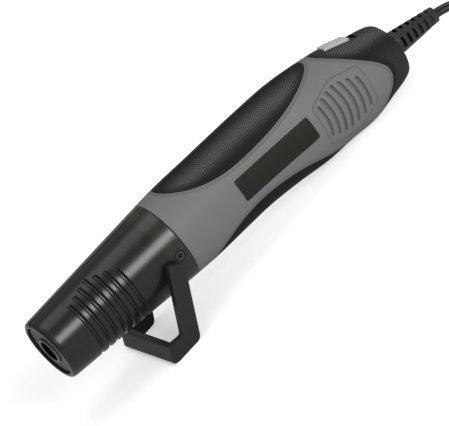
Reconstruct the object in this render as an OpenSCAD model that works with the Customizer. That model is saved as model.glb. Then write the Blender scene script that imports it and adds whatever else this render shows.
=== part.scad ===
// Embossing heat tool: a slim hot-air pen with a tapered nose, a moulded two-part
// handle with soft grips, a fold-away stand and a mains lead put away in a coil.
// Along the tool +X runs from the nose rim to the tail, -Y is the labelled side, +Z is up.

/* [Nose] */
// Length of the nose from its rim to the handle
nose_l = 82.8; // [76:0.2:92]
// Outer radius of the nose at its rim
tip_r = 18; // [17.6:0.1:19]
// Outer radius of the nose where it meets the handle
rear_r = 23.1; // [22.4:0.1:23.6]
// Wall of the nose halves
nose_wall = 3; // [2.6:0.1:3.2]
// Rounding of the nose rim
rim_round = 1.8; // [0.8:0.1:2]
// Radius of the opening inside the rim
rim_bore_r = 15.2; // [14.6:0.1:15.4]

/* [Cooling grooves] */
// Number of grooves round the underside of the nose
groove_n = 7; // [3:1:7]
// Distance of the first groove from the rim
groove_x = 19.7; // [16:0.1:22]
// Spacing of the grooves
groove_pitch = 4.9; // [4:0.1:5.2]
// Width of a groove
groove_w = 2.4; // [1.4:0.1:2.8]
// Depth of a groove
groove_depth = 1.5; // [0.6:0.1:1.6]
// How far the longest groove climbs above the side of the nose, in degrees
groove_climb = 65; // [50:1:70]

/* [Hot air outlet] */
// Outer radius of the outlet tube that a nozzle slides on to
outlet_r = 7.5; // [7:0.1:7.8]
// Inner radius of the outlet tube
outlet_bore_r = 6.1; // [5:0.1:6.2]
// Free length of the outlet tube for a nozzle
seat_l = 13.5; // [10:0.5:14]
// Gap round the outlet tube in the front disc
seat_gap = 1.1; // [0.9:0.05:1.6]
// Distance of the front disc behind the rim
disc_recess = 1.9; // [1.4:0.1:2.6]
// Thickness of the front disc
disc_t = 1.6; // [1:0.1:2.4]
// Outer radius of the heat tube behind the outlet
heat_r = 12; // [11:0.1:12.6]
// Length of the heat tube assembly from the rim
heat_l = 67; // [62:0.5:69]
// Turns of the heating wire
heater_turns = 8; // [5:1:9]

/* [Handle] */
// Length of the handle behind the nose
handle_l = 159; // [150:1:170]
// Half height of the handle at its waist
waist_r = 23.95; // [23.4:0.05:24.2]
// Half height of the handle at the belly
belly_r = 25.6; // [24.8:0.1:26.4]
// Half height of the handle where the tail begins
heel_r = 23.6; // [22.8:0.1:24.2]
// Half height of the handle at its tail end
tail_r = 9.4; // [9:0.1:10.4]
// How far the middle of the tail lies below the nose axis
tail_drop = 8.2; // [6.5:0.1:9]
// Width of the handle as a share of its height
slimness = 0.91; // [0.88:0.01:0.94]
// Wall of the handle shells
shell_wall = 3; // [2.7:0.1:3.3]

/* [Grips] */
// Thickness of the soft grips
grip_t = 1.4; // [1:0.1:1.6]
// Start of the top grip behind the nose rim
top_grip_x = 93.2; // [90:0.2:98]
// Length of the top grip
top_grip_l = 102.6; // [90:0.2:104]
// Start of the bottom grip behind the nose rim
low_grip_x = 90.6; // [88:0.2:96]
// Length of the bottom grip
low_grip_l = 101; // [90:0.2:104]
// Half angle that a grip covers where it is widest
grip_half = 59; // [50:1:61]
// Start of the tail cap on top of the handle
cap_x = 201.4; // [199:0.2:206]
// How far the grey tongue of the handle reaches into the tail cap
tongue_l = 25.8; // [20:0.2:28]

/* [Label and vents] */
// Length of the bare label plate
label_l = 50.8; // [40:0.2:54]
// Width of the label plate
label_w = 13.4; // [9:0.1:14]
// Thickness of the label plate
label_t = 0.8; // [0.5:0.05:1]
// Distance of the label's middle behind the nose rim
label_x = 148.6; // [144:0.2:152]
// Turn of the label plate against the tool's length
label_turn = 1; // [0:0.5:6]
// Number of air slots in each side
vent_n = 7; // [3:1:7]
// Spacing of the air slots
vent_pitch = 4.45; // [3.6:0.05:4.6]
// Width of an air slot
vent_w = 1.7; // [1.2:0.1:2]
// Distance of the middle of the vents behind the nose rim
vent_x = 195.2; // [193:0.2:197]

/* [Switch] */
// Distance of the switch behind the nose rim
switch_x = 218; // [216:0.2:221]
// Length of the switch opening
switch_l = 19.6; // [18.6:0.1:21]
// Width of the switch opening
switch_w = 8.4; // [7:0.1:9]
// Travel of the switch knob
switch_travel = 4.4; // [3:0.1:4.6]
// How far the knob stands above the handle
knob_rise = 1.2; // [1:0.1:2.6]

/* [Stand] */
// Distance between the outer faces of the stand's arms
stand_w = 55.6; // [55.4:0.2:60]
// Thickness of the stand's arms
stand_t = 4; // [3.6:0.1:4.2]
// Width of an arm
arm_w = 9.2; // [8.6:0.1:9.8]
// Length from the pivot to the corner of the foot
arm_l = 31.2; // [28:0.2:34]
// Lean of the arms towards the nose when the stand is out
arm_lean = 25.4; // [20:0.2:30]
// How far the crossbar stands ahead of the arms
bar_reach = 8.7; // [6:0.1:10]
// Height of the crossbar
bar_h = 9.6; // [8:0.1:10.4]
// Distance of the pivot ahead of the handle
pivot_back = 12.9; // [12.6:0.1:14]
// How far the pivot lies below the nose axis
pivot_drop = 5.5; // [4:0.1:6]
// Radius of the pivot pins
pin_r = 2.5; // [2:0.1:3]

/* [Motor and fan] */
// Radius of the motor can
motor_r = 13.8; // [12:0.1:14.4]
// Length of the motor can
motor_l = 38; // [30:0.5:38]
// Outer radius of the fan
fan_r = 16.5; // [14:0.1:18]
// Number of fan blades
blade_n = 7; // [5:1:9]

/* [Mains lead] */
// Length of the strain relief
relief_l = 28; // [26:0.5:34]
// Radius of the strain relief where it leaves the handle
relief_r = 6.8; // [6.2:0.1:7]
// Droop of the strain relief below the tool's axis, in degrees
relief_tilt = 7; // [5:0.5:9]
// Slots along each side of the strain relief
relief_n = 6; // [4:1:7]
// Thickness of the mains lead
cord_d = 5.2; // [4.8:0.1:5.4]
// Free room between neighbouring turns of the coil
turn_gap = 0.5; // [0.45:0.05:0.8]
// Turns in the coil, over its two layers
coil_turns = 7.2; // [5.2:1:7.2]
// Radius of the coil's outer turn
coil_r = 41.3; // [41.3:0.1:44]
// Width of the tie round the coil
tie_w = 8; // [5:0.5:12]

/* [Hidden] */
$fn = 64;

// Clearances
fit = 0.15;
seat = 0.25;
running = 0.06;

// The handle's sections: place along it from 0 to 1, half height, width as a share, drop
handle_x = nose_l + 0.2;
round_end = 1;
sections = [
  [0, rear_r, 1, 0],
  [0.09, (rear_r + waist_r) / 2 + 0.35, 1 - (1 - slimness) * 0.45, 0],
  [0.22, waist_r, slimness, 0],
  [0.33, waist_r, slimness, 0],
  [0.45, waist_r + (belly_r - waist_r) * 0.42, slimness, tail_drop * 0.11],
  [0.58, belly_r, slimness, tail_drop * 0.32],
  [0.68, (belly_r + heel_r) / 2 + 0.2, slimness, tail_drop * 0.47],
  [0.79, heel_r, slimness, tail_drop * 0.74],
  [0.89, heel_r * 0.835, slimness, tail_drop * 0.92],
  [0.95, heel_r * 0.745, slimness, tail_drop * 0.975],
  [0.982, heel_r * 0.635, slimness, tail_drop * 0.995],
  [round_end, tail_r, slimness, tail_drop]
];
last = len(sections) - 1;

// Row of the table that a place along the handle falls in
function row(f, i = 0) = i >= last - 1 || f <= sections[i + 1][0] ? i : row(f, i + 1);
// Slope of column c at row i of the table
function slope(i, c) = let (a = max(i - 1, 0), b = min(i + 1, last))
  (sections[b][c] - sections[a][c]) / (sections[b][0] - sections[a][0]);
// Smooth curve through the table's rows, at place f, for column c
function smooth(f, c) = let (g = min(max(f, 0), 1), i = row(g), span = sections[i + 1][0] - sections[i][0],
    t = (g - sections[i][0]) / span, t2 = t * t, t3 = t2 * t)
  (2 * t3 - 3 * t2 + 1) * sections[i][c] + (t3 - 2 * t2 + t) * span * slope(i, c)
  + (3 * t2 - 2 * t3) * sections[i + 1][c] + (t3 - t2) * span * slope(i + 1, c);
function half_h(x) = smooth((x - handle_x) / handle_l, 1);
function half_w(x) = half_h(x) * smooth((x - handle_x) / handle_l, 2);
function drop(x) = smooth((x - handle_x) / handle_l, 3);
function top_z(x) = half_h(x) - drop(x);
// Distance of the handle's side from the middle plane at height z
function side_y(x, z) = half_w(x) * sqrt(1 - pow((z + drop(x)) / half_h(x), 2));
// Angle round the section, from the labelled side upwards, of the point at height z
function side_angle(x, z) = asin((z + drop(x)) / half_h(x));
// A point on the handle's surface, sunk by depth
function on_handle(x, a, depth) =
  [x, -(half_w(x) - depth) * cos(a), (half_h(x) - depth) * sin(a) - drop(x)];

// Outer radius of the nose at a distance from the rim
function cone_r(x) = tip_r + (rear_r - tip_r) * x / nose_l;
function nose_inner(x) = cone_r(x) - nose_wall;

// Length that the handle's spigot reaches into the nose
spigot_l = 10;
spigot_r = nose_inner(nose_l - spigot_l) - fit;
spigot_wall = 1.8;
spigot_flange = 3.5;

// Screws
screw_x = nose_l - 5;
screw_z = -1.6;
screw_r = 1.3;
head_r = 2.4;
head_h = 1.6;
boss_r = 3.4;
shell_screw_places = [[nose_l + 69.2, -1], [nose_l + 91.2, -13], [nose_l + 136.2, -11]];
screw_depth = 8;

// Stand
pivot_x = nose_l - pivot_back;
arm_in = stand_w / 2 - stand_t;
boss_y = arm_in - seat;
pivot_boss_r = 4.2;
pin_out = arm_in + stand_t - 1.2;
pin_in = 19.6;
foot_len = bar_h + 3.4;
function stand_at(t, w) = [pivot_x - sin(arm_lean) * t + cos(arm_lean) * w,
  -pivot_drop - cos(arm_lean) * t - sin(arm_lean) * w];
foot = stand_at(arm_l + foot_len - 0.8, -arm_w / 2 - bar_reach + stand_t);
// The tool rests on the stand's foot and on the underside of the tail
function fall(x) = (-foot[1] - half_h(x) - drop(x)) / (x - foot[0]);
tilt = atan(min([for (f = [0.4:0.01:0.95]) fall(handle_x + handle_l * f)]));
table_slope = tan(tilt);
// Place of the foot's rear corner: where the arm's rear edge meets the table
function table_z(x) = foot[1] + (x - foot[0]) * table_slope;
heel_w = arm_w / 2 + 0.2;
heel_t = (-foot[1] - (pivot_x + cos(arm_lean) * heel_w - foot[0]) * table_slope - pivot_drop
  - sin(arm_lean) * heel_w) / (cos(arm_lean) - sin(arm_lean) * table_slope);

// The tool stands in its own frame: the middle of its base is the origin
front_x = -tip_r * 0.9 * sin(tilt);
rear_x = (handle_x + handle_l) * cos(tilt) - (tail_drop - tail_r * 0.5) * sin(tilt);
base_x = -(front_x + rear_x) / 2;
base_z = foot[0] * sin(tilt) - foot[1] * cos(tilt);

// Switch ramp
ramp = atan((top_z(switch_x - 8) - top_z(switch_x + 8)) / 16);
knob_l = switch_l - switch_travel - 0.4;
knob_w = switch_w - 0.6;
recess = shell_wall + 0.2;
switch_box_l = switch_l + 3.4;
switch_box_w = switch_w + 2.6;
switch_box_h = 6.4;

// Motor and fan places
fan_x = handle_x + 9;
fan_l = 10;
mount_x = handle_x + 24;
motor_x = mount_x + 1;
mount_r = half_w(mount_x) - shell_wall - seat;
shaft_r = 1.15;

// Strain relief
relief_end_r = 4.4;
relief_root = 9;
relief_core = 3.7;
tail_x = handle_x + handle_l;
cord_r = cord_d / 2;

// Route of the lead where it isn't coiled, laid on the table behind the tool
lead_points = [[140.2, 0, 15.3], [148, 0, 13.8], [154.5, -0.7, 12.2], [160.6, -2.6, 10], [166.3, -5.8, 7.6],
  [170.5, -9.3, 5.5], [173.8, -13.1, 3.9]];
tail_points = [[233.3, -37.3, 10], [238.2, -33.9, 11.8], [242, -29.3, 13.7], [244.5, -23.8, 15.5],
  [245.5, -17.9, 17], [245.5, -11.3, 18.1], [245.5, -6.3, 18.6]];
plug_at = [245.5, -2.8, 18.6];

// Coil
coil_at = [214, 0];
coil_start = -150;
turn_step = cord_d + turn_gap;
tie_t = 0.6;
coil_z = cord_r + tie_t + fit;
reverse_at = coil_turns / 2;
rings_per_turn = 24;
function turn_r(t) = coil_r - turn_step * (reverse_at - abs(t - reverse_at));
function climb(t) = let (s = min(max((t - reverse_at) * 2 + 0.5, 0), 1)) s * s * (3 - 2 * s);
function coil_point(t) = let (a = coil_start + 360 * t)
  [coil_at[0] + turn_r(t) * cos(a), coil_at[1] + turn_r(t) * sin(a), coil_z + turn_step * climb(t)];
function heading(a) = [-sin(a), cos(a), 0];
coil_end = coil_start + 360 * coil_turns;
coil_in = coil_point(0) - cord_d * heading(coil_start);
coil_out = coil_point(coil_turns) + cord_d * heading(coil_end);
coil_steps = round(coil_turns * rings_per_turn);
coil_line = concat([coil_in], [for (i = [0:coil_steps]) coil_point(i * coil_turns / coil_steps)], [coil_out]);
// Least gap between a turn and any turn at least half a turn away from it
coil_gap = min([for (i = [1:coil_steps + 1]) for (j = [i + rings_per_turn / 2:coil_steps + 1])
  norm(coil_line[i] - coil_line[j])]) - cord_d;
function run(p, i = 0) = i >= len(p) - 1 ? 0 : norm(p[i + 1] - p[i]) + run(p, i + 1);
lead_line = concat(lead_points, [coil_in]);
tail_line = concat([coil_out], tail_points, [plug_at]);
echo(coil_gap = coil_gap);
echo(cord_length = run(lead_line) + run(coil_line) + run(tail_line));
echo(tilt = tilt, ramp = ramp, base_x = base_x, base_z = base_z, foot = foot, tail_x = tail_x);

// Turns a shape built along Z so that it lies along X, with its angle 0 at the bottom
module along_x() {
  rotate([0, 90, 0]) children();
}

// Puts a piece of the tool where the tool stands: tipped up on its stand
module placed() {
  translate([base_x, 0, base_z]) rotate([0, tilt, 0]) children();
}

// Puts a shape on the switch ramp: its XY plane is the handle's surface there
module on_ramp() {
  translate([switch_x, 0, top_z(switch_x)]) rotate([0, ramp, 0]) children();
}

// Puts a shape at the tail end, along the strain relief
module at_tail() {
  translate([tail_x, 0, -tail_drop]) rotate([0, 90 + relief_tilt, 0]) children();
}

// A ring about the X axis from x0 to x1
module ring(x0, x1, r_out, r_in) {
  translate([x0, 0, 0]) along_x() difference() {
    cylinder(h = x1 - x0, r = r_out);
    translate([0, 0, -1]) cylinder(h = x1 - x0 + 2, r = r_in);
  }
}

// Half of a ring about the X axis; side is -1 for the labelled side and 1 for the other
module half_ring(x0, x1, r_out, r_in, side) {
  intersection() {
    ring(x0, x1, r_out, r_in);
    translate([x0 - 1, side < 0 ? -2 * r_out : 0, -2 * r_out]) cube([x1 - x0 + 2, 2 * r_out, 4 * r_out]);
  }
}

// A solid skin of the handle: grid holds rows of [x, angle], out and deep are its two depths
module skin(grid, out, deep, closed = false) {
  rows = len(grid);
  cols = len(grid[0]);
  count = rows * cols;
  points = concat([for (r = grid) for (p = r) on_handle(p[0], p[1], out)],
    [for (r = grid) for (p = r) on_handle(p[0], p[1], deep)]);
  last_col = closed ? cols - 1 : cols - 2;
  outer = [for (i = [0:rows - 2]) for (j = [0:last_col]) let (a = i * cols + j, b = i * cols + (j + 1) % cols,
    c = a + cols, d = b + cols) each [[a, b, d], [a, d, c]]];
  inner = [for (f = outer) [f[2] + count, f[1] + count, f[0] + count]];
  ends = [for (j = [0:last_col]) let (k = (j + 1) % cols, a = j, b = k, c = (rows - 1) * cols + j,
    d = (rows - 1) * cols + k) each [[b, a, a + count], [b, a + count, b + count],
    [c, d, d + count], [c, d + count, c + count]]];
  sides = closed ? [] : [for (i = [0:rows - 2]) let (a = i * cols, b = a + cols, c = a + cols - 1, d = c + cols)
    each [[a, b, b + count], [a, b + count, a + count], [d, c, c + count], [d, c + count, d + count]]];
  polyhedron(points = points, faces = concat(outer, inner, ends, sides));
}

// Places along the handle for its shells: the table's rows and the points half way
function shell_places(x_end) = [for (i = [0:2 * last]) let (a = floor(i / 2), b = ceil(i / 2))
  min(handle_x + handle_l * (sections[a][0] + sections[b][0]) / 2, x_end)];
half_steps = 16;

// The bare wall of one half of the handle
module shell_wall_half(side) {
  start = side < 0 ? -90 : 90;
  skin([for (x = shell_places(tail_x - grip_t)) [for (j = [0:half_steps]) [x, start + 180 * j / half_steps]]],
    0, shell_wall);
}

// Outline of a soft grip: two half ellipses that meet where it is widest
grip_peak = 0.4;
grip_steps = 14;
grip_cols = 12;
function grip_grid(x0, l, middle, grow) = let (g = grow / waist_r * 57.3)
  [for (i = [0:grip_steps]) let (t = (1 - cos(180 * i / grip_steps)) / 2,
    u = t < grip_peak ? 1 - t / grip_peak : (t - grip_peak) / (1 - grip_peak),
    half = grip_half * sqrt(max(1 - u * u, 0)) + g + 0.6)
    [for (j = [0:grip_cols]) [x0 - grow + (l + 2 * grow) * t, middle + half * (2 * j / grip_cols - 1)]]];

// Front edge of the tail cap at an angle round the handle
function cap_edge(a) = let (b = a > 90 ? 180 - a : a, c = b < -90 ? -180 - b : b,
    s = c > -6 ? (c + 6) / 96 : (-6 - c) / 84)
  cap_x + tongue_l * pow(cos(90 * min(s, 1)), c > -6 ? 2 : 1.2);
cap_cols = 30;
cap_rows = 7;
function cap_grid(grow, past) = [for (i = [0:cap_rows]) let (s = 1 - pow(1 - i / cap_rows, 1.6))
  [for (j = [0:cap_cols - 1]) let (a = -90 + 360 * j / cap_cols, x0 = cap_edge(a) - grow)
    [x0 + (tail_x + past - x0) * s, a]]];

// The label's outline on the labelled side
label_z = -0.2;
function label_grid(grow) = [for (i = [0:8]) let (u = (label_l / 2 + grow) * (i / 4 - 1))
  [for (j = [0:4]) let (w = (label_w / 2 + grow) * (j / 2 - 1),
    x = label_x + u * cos(label_turn) + w * sin(label_turn), z = label_z - u * sin(label_turn) + w * cos(label_turn))
    [x, side_angle(x, z)]]];

// One bowed air slot, drawn in the XZ plane and cut along Y
vent_tilt = relief_tilt - 0.5;
bow_r = 46;
module bowed_slot(l) {
  half = l / 2 / bow_r * 57.3;
  intersection() {
    difference() {
      circle(r = bow_r + vent_w / 2);
      circle(r = bow_r - vent_w / 2);
    }
    polygon([[0, 0], [2 * bow_r, -2 * bow_r * tan(half)], [2 * bow_r, 2 * bow_r * tan(half)]]);
  }
  for (a = [-half, half]) rotate(a) translate([bow_r, 0]) circle(r = vent_w / 2);
}

// The air slots of both sides
module vent_slots() {
  translate([vent_x, 0, -drop(vent_x) - 1]) rotate([90, vent_tilt, 0])
    linear_extrude(height = 3 * belly_r, center = true)
      for (i = [0:vent_n - 1]) let (k = i - (vent_n - 1) / 2)
        translate([k * vent_pitch - bow_r, 0]) bowed_slot(26 - 0.85 * k * k - vent_w);
}

// What is cut out of both shells: seats of the grips, the cap, the switch, the lead and the vents
module shell_cuts() {
  skin(grip_grid(top_grip_x, top_grip_l, 90, fit), -2, grip_t + fit);
  skin(grip_grid(low_grip_x, low_grip_l, -90, fit), -2, grip_t + fit);
  skin(cap_grid(fit, 0.01), -2, grip_t + fit, true);
  vent_slots();
  on_ramp() switch_cut();
  at_tail() translate([0, 0, -relief_root - 6]) cylinder(h = relief_root + 12, r = relief_r + fit);
}

// Opening for the switch: narrow through the wall and wider inside
module switch_cut() {
  translate([-switch_l / 2, -switch_w / 2, -recess - 4]) cube([switch_l, switch_w, 12]);
  translate([-switch_box_l / 2 - fit, -switch_box_w / 2 - fit, -recess - 1.6 - switch_box_h - fit])
    cube([switch_box_l + 2 * fit, switch_box_w + 2 * fit, switch_box_h + 2 * fit]);
}

// A post along Y from the middle plane into one shell, for a screw
module screw_post(p, side) {
  y = side_y(p[0], p[1]) - 1;
  translate([p[0], side * 0.02, p[1]]) rotate([-90 * side, 0, 0]) cylinder(h = y, r = boss_r);
}

// One half of the handle, with its spigot into the nose and its screw posts
module handle_half(side) {
  difference() {
    union() {
      shell_wall_half(side);
      half_ring(nose_l - spigot_l, handle_x + spigot_flange, spigot_r, spigot_r - spigot_wall, side);
      half_ring(handle_x, handle_x + spigot_flange, rear_r - 1, spigot_r - spigot_wall, side);
      for (p = shell_screw_places) screw_post(p, side);
    }
    shell_cuts();
    for (p = shell_screw_places) translate([p[0], -screw_depth - 2, p[1]]) rotate([-90, 0, 0])
      cylinder(h = 60, r = screw_r + fit);
    for (p = shell_screw_places) translate([p[0], side_y(p[0], p[1]) - head_h - 0.6, p[1]]) rotate([-90, 0, 0])
      cylinder(h = 9, r = head_r + 0.4);
    translate([screw_x, -40, screw_z]) rotate([-90, 0, 0]) cylinder(h = 80, r = screw_r + fit);
    if (side < 0) skin(label_grid(fit), -1.5, label_t + fit);
  }
}

module left_shell() {
  color("dimgray") placed() handle_half(-1);
}

module right_shell() {
  color("gray") placed() handle_half(1);
}

// Half of the nose's section, turned into the wall of one nose half
module nose_half(side) {
  a1 = disc_recess - 0.05;
  a2 = a1 + disc_t + 0.1;
  groove_r = rim_bore_r + 1 + fit;
  rim = [for (a = [0:18:90]) [tip_r - rim_round + rim_round * sin(a), rim_round - rim_round * cos(a)]];
  profile = concat([[rim_bore_r, 0]], rim, [[rear_r, nose_l], [nose_inner(nose_l), nose_l],
    [nose_inner(a2), a2], [groove_r, a2], [groove_r, a1], [rim_bore_r, a1]]);
  difference() {
    union() {
      along_x() rotate([0, 0, side < 0 ? 180 : 0]) rotate_extrude(angle = 180, start = 0) polygon(profile);
      translate([pivot_x, side * (cone_r(pivot_x) - nose_wall * 0.7), -pivot_drop]) rotate([-90 * side, 0, 0])
        cylinder(h = boss_y - cone_r(pivot_x) + nose_wall * 0.7, r = pivot_boss_r);
    }
    for (i = [0:groove_n - 1]) cooling_groove(i);
    translate([pivot_x, -40, -pivot_drop]) rotate([-90, 0, 0]) cylinder(h = 80, r = pin_r + running);
    translate([screw_x, -40, screw_z]) rotate([-90, 0, 0]) cylinder(h = 80, r = screw_r + fit);
    for (s = [-1, 1]) translate([screw_x, s * (cone_r(screw_x) - head_h - 0.2), screw_z])
      rotate([-90 * s, 0, 0]) cylinder(h = 9, r = head_r + fit);
  }
}

// One groove round the underside of the nose, with round ends
module cooling_groove(i) {
  x = groove_x + i * groove_pitch;
  peak = 3;
  climb = i <= peak ? groove_climb - (peak - i) * 4.7 : groove_climb - (i - peak) * 8;
  sink = cone_r(x) - groove_depth + groove_w / 2;
  translate([x, 0, 0]) along_x() {
    rotate([0, 0, -90 - climb]) rotate_extrude(angle = 180 + 2 * climb, start = 0)
      translate([sink, 0]) circle(r = groove_w / 2, $fn = 32);
    for (s = [-1, 1]) rotate([0, 0, s * (90 + climb)]) translate([sink, 0, 0]) sphere(r = groove_w / 2 + 0.03);
  }
}

module nose_left() {
  color("dimgray") placed() nose_half(-1);
}

module nose_right() {
  color("dimgray") placed() nose_half(1);
}

module front_disc() {
  color("rosybrown") placed() ring(disc_recess, disc_recess + disc_t, rim_bore_r + 1, outlet_r + seat_gap);
}

// Outlet tube and heat tube in one spun piece
module outlet_tube() {
  edge = 0.3;
  tube_wall = 0.8;
  flare = heat_r - outlet_r;
  color("silver") placed() along_x() rotate_extrude() polygon([
    [outlet_bore_r + edge, 0], [outlet_r - edge, 0], [outlet_r, edge], [outlet_r, seat_l],
    [heat_r, seat_l + flare], [heat_r, heat_l], [heat_r - tube_wall, heat_l],
    [heat_r - tube_wall, seat_l + flare + edge],
    [outlet_bore_r, seat_l + flare + edge - (heat_r - tube_wall - outlet_bore_r)], [outlet_bore_r, edge]]);
}

sleeve_r = heat_r - 0.8 - fit;
sleeve_wall = 0.6;
sleeve_x = seat_l + heat_r - outlet_r + 1;
module mica_sleeve() {
  color("khaki") placed() ring(sleeve_x, heat_l - 2, sleeve_r, sleeve_r - sleeve_wall);
}

// Two crossed cards that carry the heating wire
card_r = sleeve_r - sleeve_wall - 2.2;
card_t = 0.8;
module heater_core() {
  color("wheat") placed() for (a = [0, 90]) rotate([a, 0, 0]) {
    translate([sleeve_x + 1, -card_r, -card_t / 2]) cube([heat_l - sleeve_x - 4, 2 * card_r, card_t]);
    translate([heat_l - 6, fit - sleeve_r + sleeve_wall, -card_t / 2])
      cube([3, 2 * (sleeve_r - sleeve_wall - fit), card_t]);
  }
}

wire_r = 0.5;
wire_steps = 12;
// The heating wire, one unbroken helix round the cards
module heater_wire() {
  pitch = (heat_l - sleeve_x - 12) / heater_turns;
  line = [for (i = [0:heater_turns * wire_steps]) let (a = 360 * i / wire_steps + 15, r = card_r + wire_r + 0.35)
    [sleeve_x + 3 + pitch * i / wire_steps, r * cos(a), r * sin(a)]];
  color("darkgray") placed() tube(line, wire_r, 5);
}

module thermal_fuse() {
  color("white") placed() translate([heat_l - 18, 0, heat_r + 2.2]) along_x() cylinder(h = 11, r = 2);
}

module heater_holder() {
  hx = heat_l - 3;
  outer = nose_inner(hx) - seat;
  color("ivory") placed() difference() {
    ring(hx, hx + 3.4, outer, heat_r + fit);
    for (a = [30:60:330]) rotate([a, 0, 0]) translate([hx - 1, 0, (outer + heat_r) / 2]) along_x()
      cylinder(h = 6, r = (outer - heat_r) / 2 - 1.2);
  }
}

module top_grip() {
  color("darkslategray") placed() skin(grip_grid(top_grip_x, top_grip_l, 90, 0), 0, grip_t);
}

module bottom_grip() {
  color("darkslategray") placed() skin(grip_grid(low_grip_x, low_grip_l, -90, 0), 0, grip_t);
}

module tail_cap() {
  color("darkslategray") placed() difference() {
    skin(cap_grid(0, 0), 0, grip_t, true);
    on_ramp() translate([-switch_l / 2, -switch_w / 2, -12]) cube([switch_l, switch_w, 20]);
    at_tail() translate([0, 0, -relief_root]) cylinder(h = relief_root + 9, r = relief_r + fit);
  }
}

module label_plate() {
  color("black") placed() skin(label_grid(0), 0, label_t);
}

// A screw whose head faces +Z, with a cross in it
module screw(l) {
  cross = 0.7;
  difference() {
    union() {
      translate([0, 0, -head_h]) cylinder(h = head_h, r = head_r);
      translate([0, 0, -l]) cylinder(h = l, r = screw_r);
    }
    for (a = [0, 90]) rotate(a) translate([-head_r * 0.6, -cross / 2, -0.8]) cube([head_r * 1.2, cross, 2]);
  }
}

module nose_screws() {
  color("slategray") placed() for (s = [-1, 1]) translate([screw_x, s * (cone_r(screw_x) - 0.15), screw_z])
    rotate([-90 * s, 0, 0]) screw(cone_r(screw_x) - spigot_r + spigot_wall + 2);
}

module shell_screws() {
  color("slategray") placed() for (p = shell_screw_places) let (y = side_y(p[0], p[1]) - 0.6)
    translate([p[0], y, p[1]]) rotate([-90, 0, 0]) screw(y + screw_depth);
}

module pivot_pins() {
  color("silver") placed() for (s = [-1, 1]) translate([pivot_x, s * pin_in, -pivot_drop])
    rotate([-90 * s, 0, 0]) cylinder(h = pin_out - pin_in, r = pin_r);
}

// Side view of one arm with its foot
module arm_outline() {
  half = arm_w / 2;
  bar_w = -half - bar_reach;
  offset(r = 1.4, $fn = 24) offset(delta = -1.4) offset(r = -1.2, $fn = 24) offset(delta = 1.2)
    polygon([stand_at(-half, -half), stand_at(arm_l, -half), stand_at(arm_l + 3.4, bar_w),
      stand_at(arm_l + foot_len - 0.2, bar_w + 0.6), foot, stand_at(heel_t, heel_w), stand_at(arm_l * 0.28, half),
      stand_at(-half, half)]);
}

// Side view of the crossbar
module bar_outline() {
  bar_w = -arm_w / 2 - bar_reach;
  offset(r = 1.2, $fn = 24) offset(delta = -1.2)
    polygon([stand_at(arm_l + 3.4, bar_w), stand_at(arm_l + foot_len - 0.2, bar_w + 0.6), foot,
      stand_at(arm_l + 1.9, bar_w + stand_t)]);
}

// The stand: two arms joined by a crossbar under the nose
module stand() {
  color("darkslategray") placed() difference() {
    union() {
      for (s = [-1, 1]) translate([0, s * (arm_in + stand_t / 2), 0]) rotate([90, 0, 0])
        linear_extrude(height = stand_t, center = true) arm_outline();
      rotate([90, 0, 0]) linear_extrude(height = stand_w - 1, center = true) bar_outline();
    }
    translate([pivot_x, -pin_out - 0.2, -pivot_drop]) rotate([-90, 0, 0])
      cylinder(h = 2 * (pin_out + 0.2), r = pin_r + running);
  }
}

module motor() {
  color("lightsteelblue") placed() difference() {
    union() {
      translate([motor_x, 0, 0]) along_x() cylinder(h = motor_l, r = motor_r);
      translate([motor_x - 2, 0, 0]) along_x() cylinder(h = motor_l + 3.5, r = 4.6);
    }
    translate([motor_x - 3, 0, 0]) along_x() cylinder(h = 20, r = shaft_r + 0.1);
  }
}

module motor_mount() {
  flange = 2.5;
  mid = (mount_r + motor_r) / 2 + 1;
  color("dimgray") placed() difference() {
    union() {
      ring(mount_x, mount_x + 14, motor_r + fit + 1.6, motor_r + fit);
      ring(mount_x, mount_x + flange, mount_r, motor_r + fit);
    }
    for (a = [0:45:315]) rotate([a, 0, 0]) translate([mount_x - 1, 0, mid + 0.3]) along_x()
      cylinder(h = flange + 2, r = 1.1);
  }
}

module motor_shaft() {
  color("silver") placed() translate([fan_x + 1, 0, 0]) along_x() cylinder(h = motor_x - fan_x + 14, r = shaft_r);
}

// The fan: a hub with tipped blades
module fan() {
  hub_r = 5;
  color("black") placed() difference() {
    union() {
      translate([fan_x, 0, 0]) along_x() cylinder(h = fan_l, r = hub_r);
      for (i = [0:blade_n - 1]) rotate([360 * i / blade_n, 0, 0]) translate([fan_x + fan_l / 2, 0, hub_r - 1])
        rotate([0, 0, 35]) translate([-fan_l * 0.42, -0.5, 0]) cube([fan_l * 0.84, 1, fan_r - hub_r + 1]);
    }
    translate([fan_x - 1, 0, 0]) along_x() cylinder(h = fan_l + 2, r = shaft_r + 0.02);
  }
}

board_x = handle_x + 78;
board_l = 32;
board_z = -drop(board_x + board_l / 2);
// The circuit board with its parts
module circuit_board() {
  half = half_w(board_x + board_l) - shell_wall - seat;
  board_t = 1.6;
  color("seagreen") placed() translate([board_x, 0, board_z]) {
    translate([0, -half, 0]) cube([board_l, 2 * half, board_t]);
    for (i = [0:3]) translate([4 + 6 * i, -9, board_t]) cylinder(h = 5, r = 1.6);
    translate([6, 5, board_t]) cylinder(h = 9, r = 4);
    translate([17, 1, board_t]) cube([10, 8, 6]);
  }
}

module switch_body() {
  color("black") placed() on_ramp() {
    translate([-switch_l / 2 + fit, -switch_w / 2 + fit, -recess - 1.8])
      cube([switch_l - 2 * fit, switch_w - 2 * fit, 1.8]);
    translate([-switch_box_l / 2, -switch_box_w / 2, -recess - 1.6 - switch_box_h])
      cube([switch_box_l, switch_box_w, switch_box_h]);
  }
}

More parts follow.
